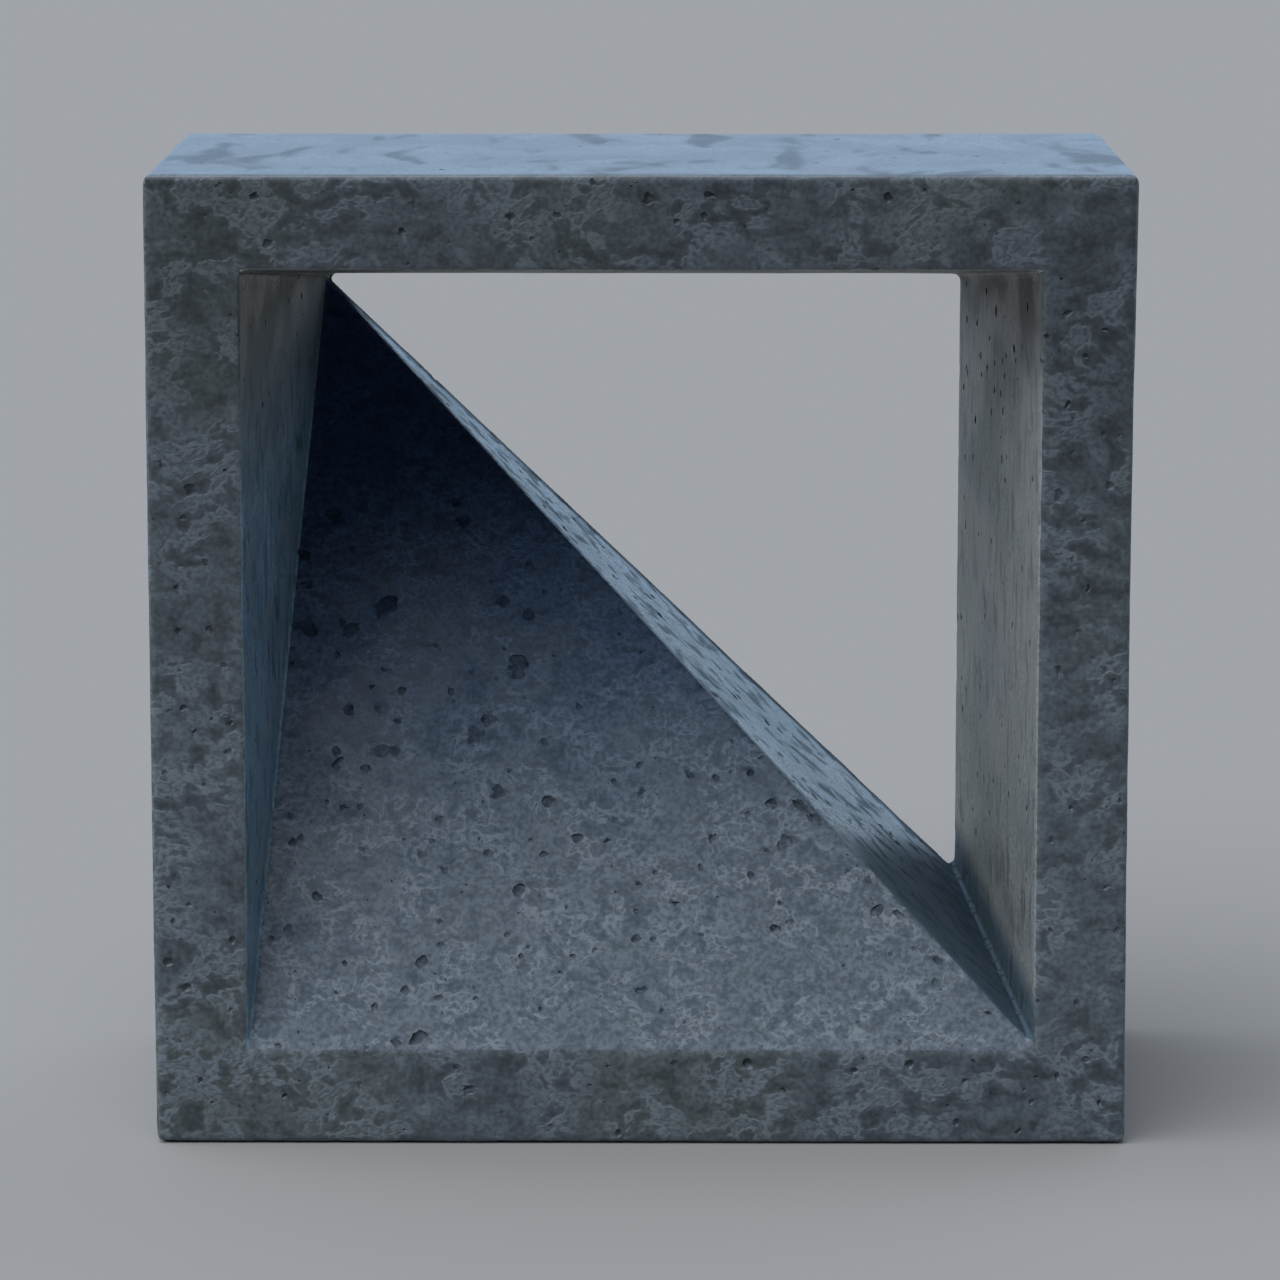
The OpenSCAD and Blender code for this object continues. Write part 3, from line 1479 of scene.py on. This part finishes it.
@dataclass(frozen=True)
class Patterns:
    """Patterns that the colour, roughness and relief of a finish share.

    Attributes:
        flow: Noise that the wisps follow.
        speckle: Fine mottling.
        clouds: Broad light and dark areas.
        wisps: Where the wisps lie.
        hollow: Where the air holes are.
    """

    flow: Socket
    speckle: Socket
    clouds: Socket
    wisps: Socket
    hollow: Socket


# Sizes of the patterns in millimetres
SPECKLE_SIZE: Point = (1.1, 1.1, 1.1)
CLOUD_SIZE: Point = (22.0, 22.0, 17.0)
MOSS_SIZE: Point = (58.0, 58.0, 58.0)
WAVE_SIZE: Point = (8.0, 8.0, 7.0)
# Number of finer layers in a pattern, and the strength of each
FLOW_LAYERS = (2.0, 0.55)
FINE_LAYERS = (1.0, 0.6)
# Push of the wisps and length of its bends, over the length of a wisp
WISP_PUSH = 0.6
WISP_BEND = 2.4
# Levels between which the patterns turn, where noise lies about one half
CLOUD_TURN = (0.36, 0.64)
SWAY_TURN = (0.36, 0.60)
MOSS_TURN = (0.46, 0.60)
SPECKLE_TURN = (0.30, 0.70)
BREAK_TURN = (0.25, 0.55)
# Facing levels over which the painted highlight on the air holes' lit walls turns on
LEDGE_HIGHLIGHT_TURN = (0.25, 0.70)
# Flow along which the strokes run, half their core and the flow where puffs are full
STROKE_FLOW = 0.54
STROKE_CORE = 0.015
PUFF_FULL = 0.70
# Strength of the strokes where sway is least and greatest, and of wisps where speckle breaks them
STROKE_SHARES = (0.15, 0.9)
BREAK_SHARE = 0.45
# Range of the flow over which the pockets darken and dull
POCKET_SHADE = 0.15
POCKET_ROUGH = 0.1
# Roughness that speckle and air holes change
SPECKLE_DULL = 0.05
HOLE_DULL = 0.2
# Colour of the air holes, partly grime and partly painted shade
HOLE_GRIME_AND_SHADE = linear(45, 50, 57)
# Noise seldom spans its full range, so heights are raised
GRAIN_GAIN = 2.0
WAVE_GAIN = 4.0


@dataclass(frozen=True)
class ConcreteFinish:
    """Look of one kind of cast concrete surface. Lengths are in millimetres.

    Attributes:
        name: Name of the finish.
        body: Main colour.
        cloud: Colour of the broad darker clouds.
        moss: Colour of the greenish patches.
        pale: Colour of the pale cement wisps.
        pocket: Colour of the dark pockets between them.
        wisp_size: Length of a wisp along the three axes.
        wisp_share: Strength of the wisps, from 0 to 1.
        stroke_width: Half the range of the flow that a thin stroke takes up.
        puff_share: Strength of the puffs between the strokes, over that of the strokes.
        pocket_share: Strength of the dark pockets, from 0 to 1.
        pocket_level: Height of the flow below which the pockets lie.
        moss_share: Strength of the greenish patches, from 0 to 1.
        speckle: Strength of the fine mottling, from 0 to 1.
        arris_share: Strength of the paler arrises, from 0 to 1.
        hole_share: Strength of the dark in the air holes, partly grime and partly painted shade, from 0 to
            1.
        ledge_highlight_share: Strength of the painted highlight on the air holes' walls that face the main
            light, from 0 to 1.
        ledge_highlight_aim: Direction that those lit walls face.
        smooth: Roughness where the skin is closed.
        dull: Roughness where it is open.
        pocket_dull: Roughness that the pockets add.
        mirror: Strength of reflections, where one half is usual.
        relief: Height of the wisps.
        grain: Height of the fine mottling.
        wave: Height of the broad ripples.
        painted_shade_from: Height at which painted shade starts to darken the surface, or none.
        painted_shade_to: Height at which the painted shade is darkest.
        painted_shade: Colour that the painted shade multiplies by.
        lines: Bands along edges: stains, painted shade and painted highlights.
    """

    name: str
    body: Colour = linear(93, 102, 111)
    cloud: Colour = linear(81, 90, 99)
    moss: Colour = linear(87, 97, 94)
    pale: Colour = linear(136, 146, 156)
    pocket: Colour = linear(10, 12, 15)
    wisp_size: Point = (6.0, 6.0, 3.0)
    wisp_share: float = 0.56
    stroke_width: float = 0.09
    puff_share: float = 0.75
    pocket_share: float = 0.42
    pocket_level: float = 0.46
    moss_share: float = 0.55
    speckle: float = 0.4
    arris_share: float = 0.5
    hole_share: float = 0.45
    # Painted highlight on the air holes' walls that face the main light
    ledge_highlight_share: float = 0.6
    ledge_highlight_aim: Point = (-0.4, 0.0, 0.92)
    smooth: float = 0.44
    dull: float = 0.60
    pocket_dull: float = 0.0
    mirror: float = 0.5
    relief: float = 0.10
    grain: float = 0.04
    wave: float = 0.0
    # Painted shade, off unless a height is given: the colour darkens towards the top
    painted_shade_from: Optional[float] = None
    painted_shade_to: float = 165.0
    painted_shade: Colour = (0.40, 0.50, 0.63)
    lines: tuple[StainAndPaintedLightLine, ...] = ()

    def build(self) -> bpy.types.Material:
        """Makes the finish.

        Returns:
            The material.
        """
        paint = bpy.data.materials.new(self.name)
        paint.use_nodes = True
        sheet = NodeSheet(paint.node_tree)
        look = self.patterns(sheet)
        shader = paint.node_tree.nodes["Principled BSDF"]
        shader.inputs["Specular IOR Level"].default_value = self.mirror
        sheet.feed(shader.inputs["Base Color"], self.stain(sheet, look, self.colour(sheet, look)))
        sheet.feed(shader.inputs["Roughness"], self.roughness(sheet, look))
        sheet.feed(shader.inputs["Normal"], self.relief_normal(sheet, look))
        return paint

    def patterns(self, sheet: NodeSheet) -> Patterns:
        """Lays out the patterns. Pale cement lies in thin broken strokes, and in puffs between them.

        Args:
            sheet: Nodes to add to.

        Returns:
            The patterns.
        """
        length = self.wisp_size[0]
        bent, sway = sheet.shove(WISP_PUSH * length, WISP_BEND * length, Seed.PUSH)
        flow = sheet.noise(self.wisp_size, Seed.FLOW, *FLOW_LAYERS, bent)
        speckle = sheet.noise(SPECKLE_SIZE, Seed.SPECKLE, *FINE_LAYERS)
        clouds = sheet.step(sheet.noise(CLOUD_SIZE, Seed.CLOUD, *FINE_LAYERS), *CLOUD_TURN)
        off = sheet.maths("ABSOLUTE", sheet.maths("SUBTRACT", flow, STROKE_FLOW))
        strokes = sheet.step(off, STROKE_CORE, self.stroke_width, 1.0, 0.0)
        where = sheet.step(sway, *SWAY_TURN, *STROKE_SHARES)
        puffs = sheet.step(flow, STROKE_FLOW, PUFF_FULL, 0.0, self.puff_share)
        both = sheet.maths("MAXIMUM", sheet.maths("MULTIPLY", strokes, where), puffs)
        wisps = sheet.maths("MULTIPLY", both, sheet.step(speckle, *BREAK_TURN, BREAK_SHARE))
        return Patterns(flow, speckle, clouds, wisps, sheet.mark(HOLE_MARK))

    def colour(self, sheet: NodeSheet, look: Patterns) -> Socket:
        """Mixes the colour of the clean skin.

        Args:
            sheet: Nodes to add to.
            look: Patterns of the finish.

        Returns:
            The colour.
        """
        shade = sheet.mix(look.clouds, self.cloud, self.body)
        if self.moss_share > 0.0:
            moss = sheet.noise(MOSS_SIZE, Seed.MOSS, 0.0)
            shade = sheet.mix(sheet.step(moss, *MOSS_TURN, 0.0, self.moss_share), shade, self.moss)
        spread = 0.5 * self.speckle
        fine = sheet.step(look.speckle, *SPECKLE_TURN, 1.0 - spread, 1.0 + spread)
        shade = sheet.mix(1.0, shade, fine, "MULTIPLY")
        floor = self.pocket_level - POCKET_SHADE
        pockets = sheet.step(look.flow, self.pocket_level, floor, 0.0, self.pocket_share)
        shade = sheet.mix(pockets, shade, self.pocket)
        return sheet.mix(sheet.maths("MULTIPLY", look.wisps, self.wisp_share), shade, self.pale)

    def stain(self, sheet: NodeSheet, look: Patterns, shade: Socket) -> Socket:
        """Adds pale arrises, bands along edges, dark air holes with a painted highlight on their lit
        walls, and painted shade towards the top.

        Args:
            sheet: Nodes to add to.
            look: Patterns of the finish.
            shade: Colour of the clean skin.

        Returns:
            The colour.
        """
        edge = sheet.maths("MULTIPLY", sheet.mark(ARRIS_MARK), self.arris_share)
        shade = sheet.mix(sheet.maths("MULTIPLY", edge, look.speckle), shade, self.pale)
        # Bands along edges: stains, painted shade and painted highlights
        for line in self.lines:
            shade = line.lay(sheet, shade)
        # Air holes darken, partly grime and partly painted shade
        shade = sheet.mix(sheet.maths("MULTIPLY", look.hollow, self.hole_share), shade, HOLE_GRIME_AND_SHADE)
        # Painted highlight: pale on the air holes' walls that face the main light
        if self.ledge_highlight_share > 0.0:
            lit_ledge = sheet.step(sheet.facing(self.ledge_highlight_aim), *LEDGE_HIGHLIGHT_TURN, 0.0, self.ledge_highlight_share)
            shade = sheet.mix(sheet.maths("MULTIPLY", look.hollow, lit_ledge), shade, self.pale)
        # Painted shade: the colour is multiplied darker towards the top, where recesses and upper ends lie
        # in shade
        if self.painted_shade_from is None:
            return shade
        painted_shade_gamma = sheet.add("ShaderNodeGamma")
        sheet.feed(painted_shade_gamma.inputs["Color"], self.painted_shade)
        sheet.feed(painted_shade_gamma.inputs["Gamma"], sheet.step(sheet.height(), self.painted_shade_from, self.painted_shade_to))
        return sheet.mix(1.0, shade, painted_shade_gamma.outputs["Color"], "MULTIPLY")

    def roughness(self, sheet: NodeSheet, look: Patterns) -> Socket:
        """Works out the roughness.

        Args:
            sheet: Nodes to add to.
            look: Patterns of the finish.

        Returns:
            The roughness.
        """
        skin = sheet.step(look.clouds, 0.0, 1.0, self.smooth, self.dull)
        fine = sheet.step(look.speckle, *SPECKLE_TURN, -SPECKLE_DULL, SPECKLE_DULL)
        total = sheet.maths("ADD", skin, fine)
        if self.pocket_dull > 0.0:
            floor = self.pocket_level - POCKET_ROUGH
            pockets = sheet.step(look.flow, self.pocket_level, floor, 0.0, self.pocket_dull)
            total = sheet.maths("ADD", total, pockets)
        for line in self.lines:
            if line.dull > 0.0:
                total = sheet.maths("ADD", total, line.level(sheet, line.dull, 0.0))
        return sheet.maths("ADD", total, sheet.maths("MULTIPLY", look.hollow, HOLE_DULL))

    def relief_normal(self, sheet: NodeSheet, look: Patterns) -> Socket:
        """Raises the fine relief.

        Args:
            sheet: Nodes to add to.
            look: Patterns of the finish.

        Returns:
            The shading normal.
        """
        height = sheet.maths("MULTIPLY", look.wisps, self.relief)
        height = sheet.maths("ADD", height, sheet.maths("MULTIPLY", look.speckle, GRAIN_GAIN * self.grain))
        if self.wave > 0.0:
            ripple = sheet.noise(WAVE_SIZE, Seed.WAVE, 1.0)
            height = sheet.maths("ADD", height, sheet.maths("MULTIPLY", ripple, WAVE_GAIN * self.wave))
        for line in self.lines:
            if line.relief < 1.0:
                height = sheet.maths("MULTIPLY", height, line.level(sheet, line.relief, 1.0))
        bump = sheet.add("ShaderNodeBump")
        bump.inputs["Strength"].default_value = 1.0
        bump.inputs["Distance"].default_value = MILLIMETRE
        sheet.feed(bump.inputs["Height"], height)
        return bump.outputs["Normal"]


@dataclass(frozen=True)
class Studio:
    """Plain pale floor and soft light.

    Attributes:
        floor_colour: Colour of the floor as the camera sees it.
        floor_bounce: Colour of the floor as it lights the block.
        floor_half: Half the floor's width.
        key_aim: Direction from the block to the main light.
        key_degrees: Breadth of the main light.
        key_level: Strength of the main light.
        key_colour: Colour of the main light.
        back_colour: Surrounding light from behind.
        back_mirrored: Surround behind, as reflections show it.
        back_turn: Backward aim at which the surround starts to brighten, and at which it is brightest.
        front_colour: Surrounding light from the front.
        far_colour: Surround as the camera sees it.
    """

    floor_colour: Colour = linear(159, 157, 156)
    floor_bounce: Colour = linear(140, 141, 142)
    floor_half: float = 30.0
    key_aim: Point = (-0.42, -0.36, 1.0)
    key_degrees: float = 70.0
    key_level: float = 2.9
    key_colour: Colour = (0.91, 0.96, 1.0)
    back_colour: Colour = (0.66, 0.75, 0.86)
    back_mirrored: Colour = (0.52, 0.73, 1.0)
    back_turn: tuple[float, float] = (-0.35, 0.75)
    front_colour: Colour = (0.06, 0.075, 0.09)
    far_colour: Colour = linear(152, 156, 162)

    def build(self) -> None:
        """Makes the floor, the main light and the surrounding light."""
        self.lay_floor()
        self.hang_key()
        self.light_surround()
        bpy.context.scene.view_settings.view_transform = "Standard"

    def seen_directly(self, sheet: NodeSheet) -> Socket:
        """Tells rays that see the floor, directly or mirrored, from the rays that carry light."""
        path = sheet.add("ShaderNodeLightPath")
        return sheet.maths("MAXIMUM", path.outputs["Is Camera Ray"], path.outputs["Is Glossy Ray"])

    def lay_floor(self) -> None:
        """Makes the floor."""
        half = self.floor_half
        mesh = bpy.data.meshes.new("floor")
        mesh.from_pydata(
            [(-half, -half, 0.0), (half, -half, 0.0), (half, half, 0.0), (-half, half, 0.0)],
            [],
            [(0, 1, 2, 3)],
        )
        floor = bpy.data.objects.new("floor", mesh)
        bpy.context.scene.collection.objects.link(floor)
        paint = bpy.data.materials.new("floor")
        paint.use_nodes = True
        sheet = NodeSheet(paint.node_tree)
        shader = paint.node_tree.nodes["Principled BSDF"]
        tone = sheet.mix(self.seen_directly(sheet), self.floor_bounce, self.floor_colour)
        sheet.feed(shader.inputs["Base Color"], tone)
        shader.inputs["Roughness"].default_value = 1.0
        shader.inputs["Specular IOR Level"].default_value = 0.0
        mesh.materials.append(paint)

    def hang_key(self) -> None:
        """Makes the main light."""
        data = bpy.data.lights.new("key", "SUN")
        data.energy = self.key_level
        data.angle = math.radians(self.key_degrees)
        data.color = self.key_colour
        lamp = bpy.data.objects.new("key", data)
        lamp.location = self.key_aim
        lamp.rotation_euler = (-Vector(self.key_aim)).to_track_quat("-Z", "Y").to_euler()
        bpy.context.scene.collection.objects.link(lamp)

    def light_surround(self) -> None:
        """Makes the surrounding light, bright behind the block and dim in front of it."""
        world = bpy.data.worlds.new("surround")
        world.use_nodes = True
        sheet = NodeSheet(world.node_tree)
        place = sheet.add("ShaderNodeTexCoord")
        parts = sheet.add("ShaderNodeSeparateXYZ")
        sheet.feed(parts.inputs[0], place.outputs["Generated"])
        behind = sheet.step(parts.outputs["Y"], *self.back_turn)
        path = sheet.add("ShaderNodeLightPath")
        rear = sheet.mix(path.outputs["Is Glossy Ray"], self.back_colour, self.back_mirrored)
        tone = sheet.mix(behind, self.front_colour, rear)
        tone = sheet.mix(path.outputs["Is Camera Ray"], tone, self.far_colour)
        sky = world.node_tree.nodes["Background"]
        sheet.feed(sky.inputs["Color"], tone)
        bpy.context.scene.world = world


def hole_scatters() -> list[AirHoles]:
    """Lists the scatters of air holes, side by side.

    Returns:
        One scatter for each side that shows holes.
    """
    return [
        AirHoles(Zone.FRONT, 130, largest=0.6 * MILLIMETRE),
        AirHoles(Zone.WEB, 170, largest=0.8 * MILLIMETRE),
        AirHoles(Zone.SLANT, 110, largest=1.0 * MILLIMETRE),
        AirHoles(Zone.LEFT_WALL, 60, largest=0.9 * MILLIMETRE),
        AirHoles(Zone.RIGHT_WALL, 110),
        AirHoles(Zone.SOFFIT, 60),
        AirHoles(Zone.TOP, 45, largest=0.7 * MILLIMETRE),
        AirHoles(Zone.LEFT_SIDE, 170, largest=1.5 * MILLIMETRE),
        AirHoles(Zone.RIGHT_SIDE, 170, largest=1.5 * MILLIMETRE),
        AirHoles(Zone.BACK, 230, largest=1.7 * MILLIMETRE),
        AirHoles(Zone.BASE, 120),
    ]


def frame_holes() -> list[Point]:
    """Lists the main air holes of the front bars: column, row and width in the photograph.

    Returns:
        The holes, bar by bar.
    """
    top_bar = [
        (219, 185, 7), (255, 196, 10), (302, 226, 7), (411, 204, 8), (402, 233, 8), (268, 243, 9),
        (510, 217, 10), (557, 215, 7), (593, 182, 7), (649, 199, 12), (677, 221, 8), (704, 215, 8),
        (711, 196, 12), (766, 210, 5), (888, 198, 9),
    ]
    left_bar = [
        (191, 491, 12), (184, 518, 6), (160, 464, 6), (209, 629, 9), (177, 588, 7), (180, 630, 7),
        (206, 563, 6), (223, 667, 7), (171, 709, 8), (183, 708, 7), (195, 733, 8), (229, 724, 7),
        (228, 752, 7), (165, 773, 6), (194, 767, 5), (205, 784, 7), (175, 877, 8), (189, 905, 6),
        (172, 922, 6), (232, 940, 7), (169, 958, 11), (187, 987, 10), (200, 1079, 8), (231, 1010, 6),
    ]
    right_bar = [
        (1067, 314, 7), (1106, 330, 6), (1086, 357, 6), (1068, 404, 8), (1103, 434, 7),
        (1072, 453, 7), (1108, 486, 8), (1058, 496, 9), (1083, 521, 6), (1070, 560, 9),
        (1089, 588, 7), (1078, 631, 6), (1058, 671, 8), (1105, 669, 5), (1051, 840, 6),
        (1106, 888, 7), (1050, 930, 8), (1116, 930, 7), (1076, 1003, 6), (1075, 1027, 6),
        (1085, 1060, 7), (1057, 1076, 7), (1099, 1102, 6),
    ]
    low_bar = [
        (359, 1086, 6), (455, 1068, 6), (469, 1091, 11), (618, 1133, 7), (674, 1062, 6),
        (749, 1064, 10), (741, 1081, 6), (853, 1072, 8), (908, 1064, 9), (965, 1081, 8),
        (955, 1122, 8), (1032, 1101, 7), (1018, 1132, 6), (783, 1091, 6),
    ]
    return top_bar + left_bar + right_bar + low_bar


def web_holes() -> list[Point]:
    """Lists the main air holes of the web and of the slanted face above it.

    Returns:
        Column, row and width of each hole in the photograph.
    """
    upper = [
        (336, 518, 20), (306, 628, 22), (383, 605, 24), (351, 630, 13), (341, 622, 8), (305, 584, 10),
        (304, 555, 10), (458, 501, 10), (463, 519, 12), (501, 601, 13), (527, 615, 10), (516, 667, 19),
        (472, 673, 8), (437, 645, 7), (400, 690, 9), (450, 691, 8), (338, 656, 8), (384, 670, 8),
        (378, 709, 9), (351, 710, 10), (398, 722, 8), (487, 721, 12), (477, 737, 17), (545, 741, 9),
        (387, 750, 16), (336, 752, 8), (338, 764, 11), (365, 768, 8), (579, 707, 8), (641, 765, 8),
    ]
    middle = [
        (500, 792, 14), (549, 801, 11), (345, 807, 9), (290, 816, 8), (297, 839, 14), (440, 820, 8),
        (431, 840, 7), (422, 855, 8), (489, 853, 9), (542, 855, 9), (444, 870, 7), (518, 891, 11),
        (288, 930, 11), (272, 938, 7), (319, 897, 10), (439, 921, 8), (579, 838, 11), (641, 792, 8),
        (688, 774, 9), (751, 771, 9), (772, 803, 10), (712, 838, 11), (783, 841, 14), (767, 850, 6),
        (751, 875, 7), (614, 820, 6), (676, 904, 7), (847, 872, 6), (878, 913, 12), (873, 901, 6),
    ]
    lower = [
        (423, 963, 11), (442, 945, 7), (405, 992, 9), (438, 998, 9), (374, 1008, 8), (418, 1037, 14),
        (396, 1044, 9), (368, 1047, 9), (521, 957, 9), (775, 929, 11), (791, 923, 8), (637, 939, 8),
        (641, 990, 9), (701, 935, 6), (914, 948, 6), (934, 981, 7), (899, 1043, 8), (988, 1013, 7),
    ]
    slanted = [
        (577, 518, 6), (602, 546, 9), (623, 555, 6), (660, 615, 9), (720, 646, 8), (780, 731, 7),
        (804, 780, 8), (815, 797, 8), (829, 752, 6), (881, 826, 8), (902, 861, 6),
    ]
    return upper + middle + lower + slanted


def wall_holes() -> list[Point]:
    """Lists the main air holes of the right wall.

    Returns:
        Column, row and width of each hole in the photograph.
    """
    return [
        (996, 312, 9), (967, 319, 9), (977, 322, 8), (1005, 317, 5), (967, 370, 10), (987, 368, 9),
        (1006, 356, 6), (1003, 411, 8), (973, 457, 7), (973, 810, 7), (963, 821, 6), (976, 833, 7),
    ]


def web_chips() -> list[Point]:
    """Lists the main chips of the web's diagonal arris.

    Returns:
        Column, row and width of each chip in the photograph.
    """
    return [(801, 806, 15), (814, 818, 13), (869, 880, 8), (898, 914, 11), (938, 960, 11), (620, 612, 6)]


def low_shade(plan: BlockPlan) -> PaintedShadowSide:
    """Gives the painted shadow, dark and smooth, on the lower end of the slanted face, where the right
    wall shades it.

    Args:
        plan: Main sizes of the block.

    Returns:
        The stain, which ends in a line from the rear arris down to the front arris.
    """
    rear_run, front_run = 6.5, 57.0
    behind = plan.heel + (plan.tip - plan.heel).normalized() * rear_run * MILLIMETRE
    before = plan.foot + (plan.tip - plan.foot).normalized() * front_run * MILLIMETRE
    normal = plan.planes()[Zone.SLANT][1]
    aim = normal.cross(before - behind).normalized()
    if aim.dot(plan.tip - behind) < 0.0:
        aim = -aim
    # Painted shadow: dark navy over the lower end of the slanted face
    return PaintedShadowSide(
        tuple(behind / MILLIMETRE),
        tuple(before / MILLIMETRE),
        near=-6.0,
        far=9.0,
        tint=linear(29, 53, 73),
        share=0.8,
        dull=0.45,
        relief=0.2,
        aim=tuple(aim),
    )


def finishes(plan: BlockPlan) -> dict[Zone, ConcreteFinish]:
    """Gives each side of the casting its finish.

    Args:
        plan: Main sizes of the block.

    Returns:
        One finish per zone.
    """
    foot = tuple(plan.foot / MILLIMETRE)
    heel = tuple(plan.heel / MILLIMETRE)
    tip = tuple(plan.tip / MILLIMETRE)
    tip_run = 10.0
    before_tip = (tip[0], tip[1] - tip_run, tip[2])
    seam_ends = [tuple(end / MILLIMETRE) for end in plan.seam()]
    seam = StainAndPaintedLightLine(*seam_ends, 1.0, 1.6, linear(84, 102, 116), 0.65, dull=0.3, relief=0.0)
    # Painted shade on the right wall beside its seam with the slanted face
    valley_shade = StainAndPaintedLightLine(*seam_ends, 5.0, 14.0, (0.24, 0.36, 0.47), 1.0, "MULTIPLY", 0.3, 0.4)
    side = ConcreteFinish("mottled_side")
    face = replace(
        side,
        name="mottled_face",
        body=linear(92, 101, 109),
        cloud=linear(82, 90, 98),
        pale=linear(140, 150, 160),
        wisp_size=(5.0, 5.0, 3.6),
        wisp_share=0.66,
        stroke_width=0.09,
        puff_share=0.7,
        pocket_share=0.37,
        moss_share=0.45,
        # Painted shade: the front bars darken by a third towards the top
        painted_shade_from=45.0,
        painted_shade_to=185.0,
        painted_shade=(0.66, 0.66, 0.66),
    )
    web = replace(
        side,
        name="speckled_web",
        body=linear(103, 114, 126),
        cloud=linear(95, 106, 118),
        pale=linear(152, 160, 170),
        pocket=linear(47, 65, 81),
        wisp_size=(3.9, 3.9, 2.9),
        wisp_share=0.58,
        stroke_width=0.06,
        puff_share=0.3,
        pocket_share=0.36,
        moss_share=0.0,
        speckle=0.55,
        # Painted highlight on the web's air holes, on walls facing up and back
        ledge_highlight_share=0.35,
        ledge_highlight_aim=(-0.3, 0.53, 0.79),
        dull=0.7,
        mirror=0.2,
        relief=0.07,
        # Painted shade: the web turns dark blue towards its top, deep under the top bar
        painted_shade_from=46.0,
        painted_shade_to=162.0,
        painted_shade=(0.105, 0.19, 0.39),
    )
    slant = replace(
        side,
        name="slanted_face",
        body=linear(106, 130, 143),
        cloud=linear(97, 120, 133),
        pale=linear(160, 178, 188),
        wisp_size=(6.0, 5.0, 6.0),
        wisp_share=0.7,
        pocket=linear(50, 68, 82),
        pocket_share=0.6,
        pocket_level=0.48,
        moss_share=0.0,
        ledge_highlight_share=0.0,
        hole_share=0.6,
        smooth=0.24,
        dull=0.32,
        pocket_dull=0.28,
        relief=0.2,
        wave=0.2,
        lines=(
            # Painted highlight: pale band beside the front arris of the slanted face
            StainAndPaintedLightLine(foot, tip, 1.5, 6.0, linear(150, 165, 176), 0.6),
            # Painted shade: dark band along the rear arris of the slanted face
            StainAndPaintedLightLine(heel, tip, 2.5, 6.5, linear(30, 40, 52), 0.85, dull=0.4),
            # Painted shade: near-black at the tip, deep under the top bar
            StainAndPaintedLightLine(tip, before_tip, 7.0, 13.0, linear(8, 12, 20), 0.95, dull=0.6),
            low_shade(plan),
            seam,
        ),
    )
    # Painted light: the right core wall is written paler than the front bars for the light that falls on
    # it; painted shade darkens its top under the soffit
    wall = replace(
        side,
        name="core_wall",
        body=linear(149, 151, 150),
        cloud=linear(138, 141, 140),
        moss=linear(143, 147, 138),
        pale=linear(172, 176, 174),
        wisp_size=(3.0, 3.0, 11.0),
        wisp_share=0.4,
        ledge_highlight_share=0.0,
        arris_share=0.8,
        painted_shade_from=150.0,
        painted_shade_to=177.0,
        painted_shade=(0.28, 0.28, 0.28),
        lines=(valley_shade, seam),
    )
    # Painted shade: the left core wall is a shaded copy of the wall finish, written blue for the bluish
    # shade on it, and darker towards its top
    cold_wall = replace(
        wall,
        name="shaded_wall",
        body=linear(119, 153, 179),
        cloud=linear(108, 140, 164),
        moss_share=0.0,
        arris_share=0.3,
        painted_shade_from=124.0,
        painted_shade_to=180.0,
        painted_shade=(0.35, 0.27, 0.20),
        lines=(),
    )
    soffit = replace(
        wall,
        name="core_soffit",
        body=linear(118, 120, 119),
        cloud=linear(108, 111, 110),
        painted_shade_from=None,
        lines=(),
    )
    top = replace(
        side,
        name="trowelled_top",
        body=linear(99, 109, 119),
        cloud=linear(92, 102, 112),
        pocket=linear(36, 50, 68),
        wisp_size=(13.0, 45.0, 12.0),
        wisp_share=0.25,
        pocket_share=0.36,
        pocket_level=0.45,
        moss_share=0.0,
        speckle=0.2,
        ledge_highlight_share=0.0,
        smooth=0.30,
        dull=0.36,
        pocket_dull=0.13,
        relief=0.02,
        grain=0.015,
    )
    base = replace(side, name="bed_face", wisp_share=0.3, dull=0.75)
    return {
        Zone.FRONT: face,
        Zone.WEB: web,
        Zone.SLANT: slant,
        Zone.LEFT_WALL: cold_wall,
        Zone.RIGHT_WALL: wall,
        Zone.SOFFIT: soffit,
        Zone.TOP: top,
        Zone.LEFT_SIDE: side,
        Zone.RIGHT_SIDE: side,
        Zone.BACK: side,
        Zone.BASE: base,
    }


def paint(piece: bpy.types.Object, zones: np.ndarray, plan: BlockPlan) -> None:
    """Puts the finishes on the casting.

    Args:
        piece: Casting to paint.
        zones: Value of the zone of each face.
        plan: Main sizes of the block.
    """
    chosen = finishes(plan)
    kinds = list(dict.fromkeys(chosen.values()))
    piece.data.materials.clear()
    for kind in kinds:
        piece.data.materials.append(kind.build())
    slots = np.zeros(len(Zone), np.int32)
    for zone, kind in chosen.items():
        slots[zone.value] = kinds.index(kind)
    piece.data.polygons.foreach_set("material_index", slots[zones])
    LOG.info("finishes: %s", ", ".join(kind.name for kind in kinds))


def main() -> None:
    """Builds the block, its finish, the stage and the camera."""
    logging.basicConfig(level=logging.INFO, format="%(message)s")
    frame: dict[str, Any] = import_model()
    low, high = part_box(SOLID_NODE)
    plan = BlockPlan(Vector(low), Vector(high))
    view = Viewpoint()
    view.build()
    casting = Casting(
        frame["nodes"][SOLID_NODE],
        plan,
        view,
        hole_scatters(),
        frame_holes() + web_holes() + wall_holes(),
        web_chips(),
    )
    piece = casting.build()
    paint(piece, casting.zones(piece.data), plan)
    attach(piece, BODY)
    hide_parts(SOLID_NODE)
    Studio().build()


if __name__ == "__main__":
    main()
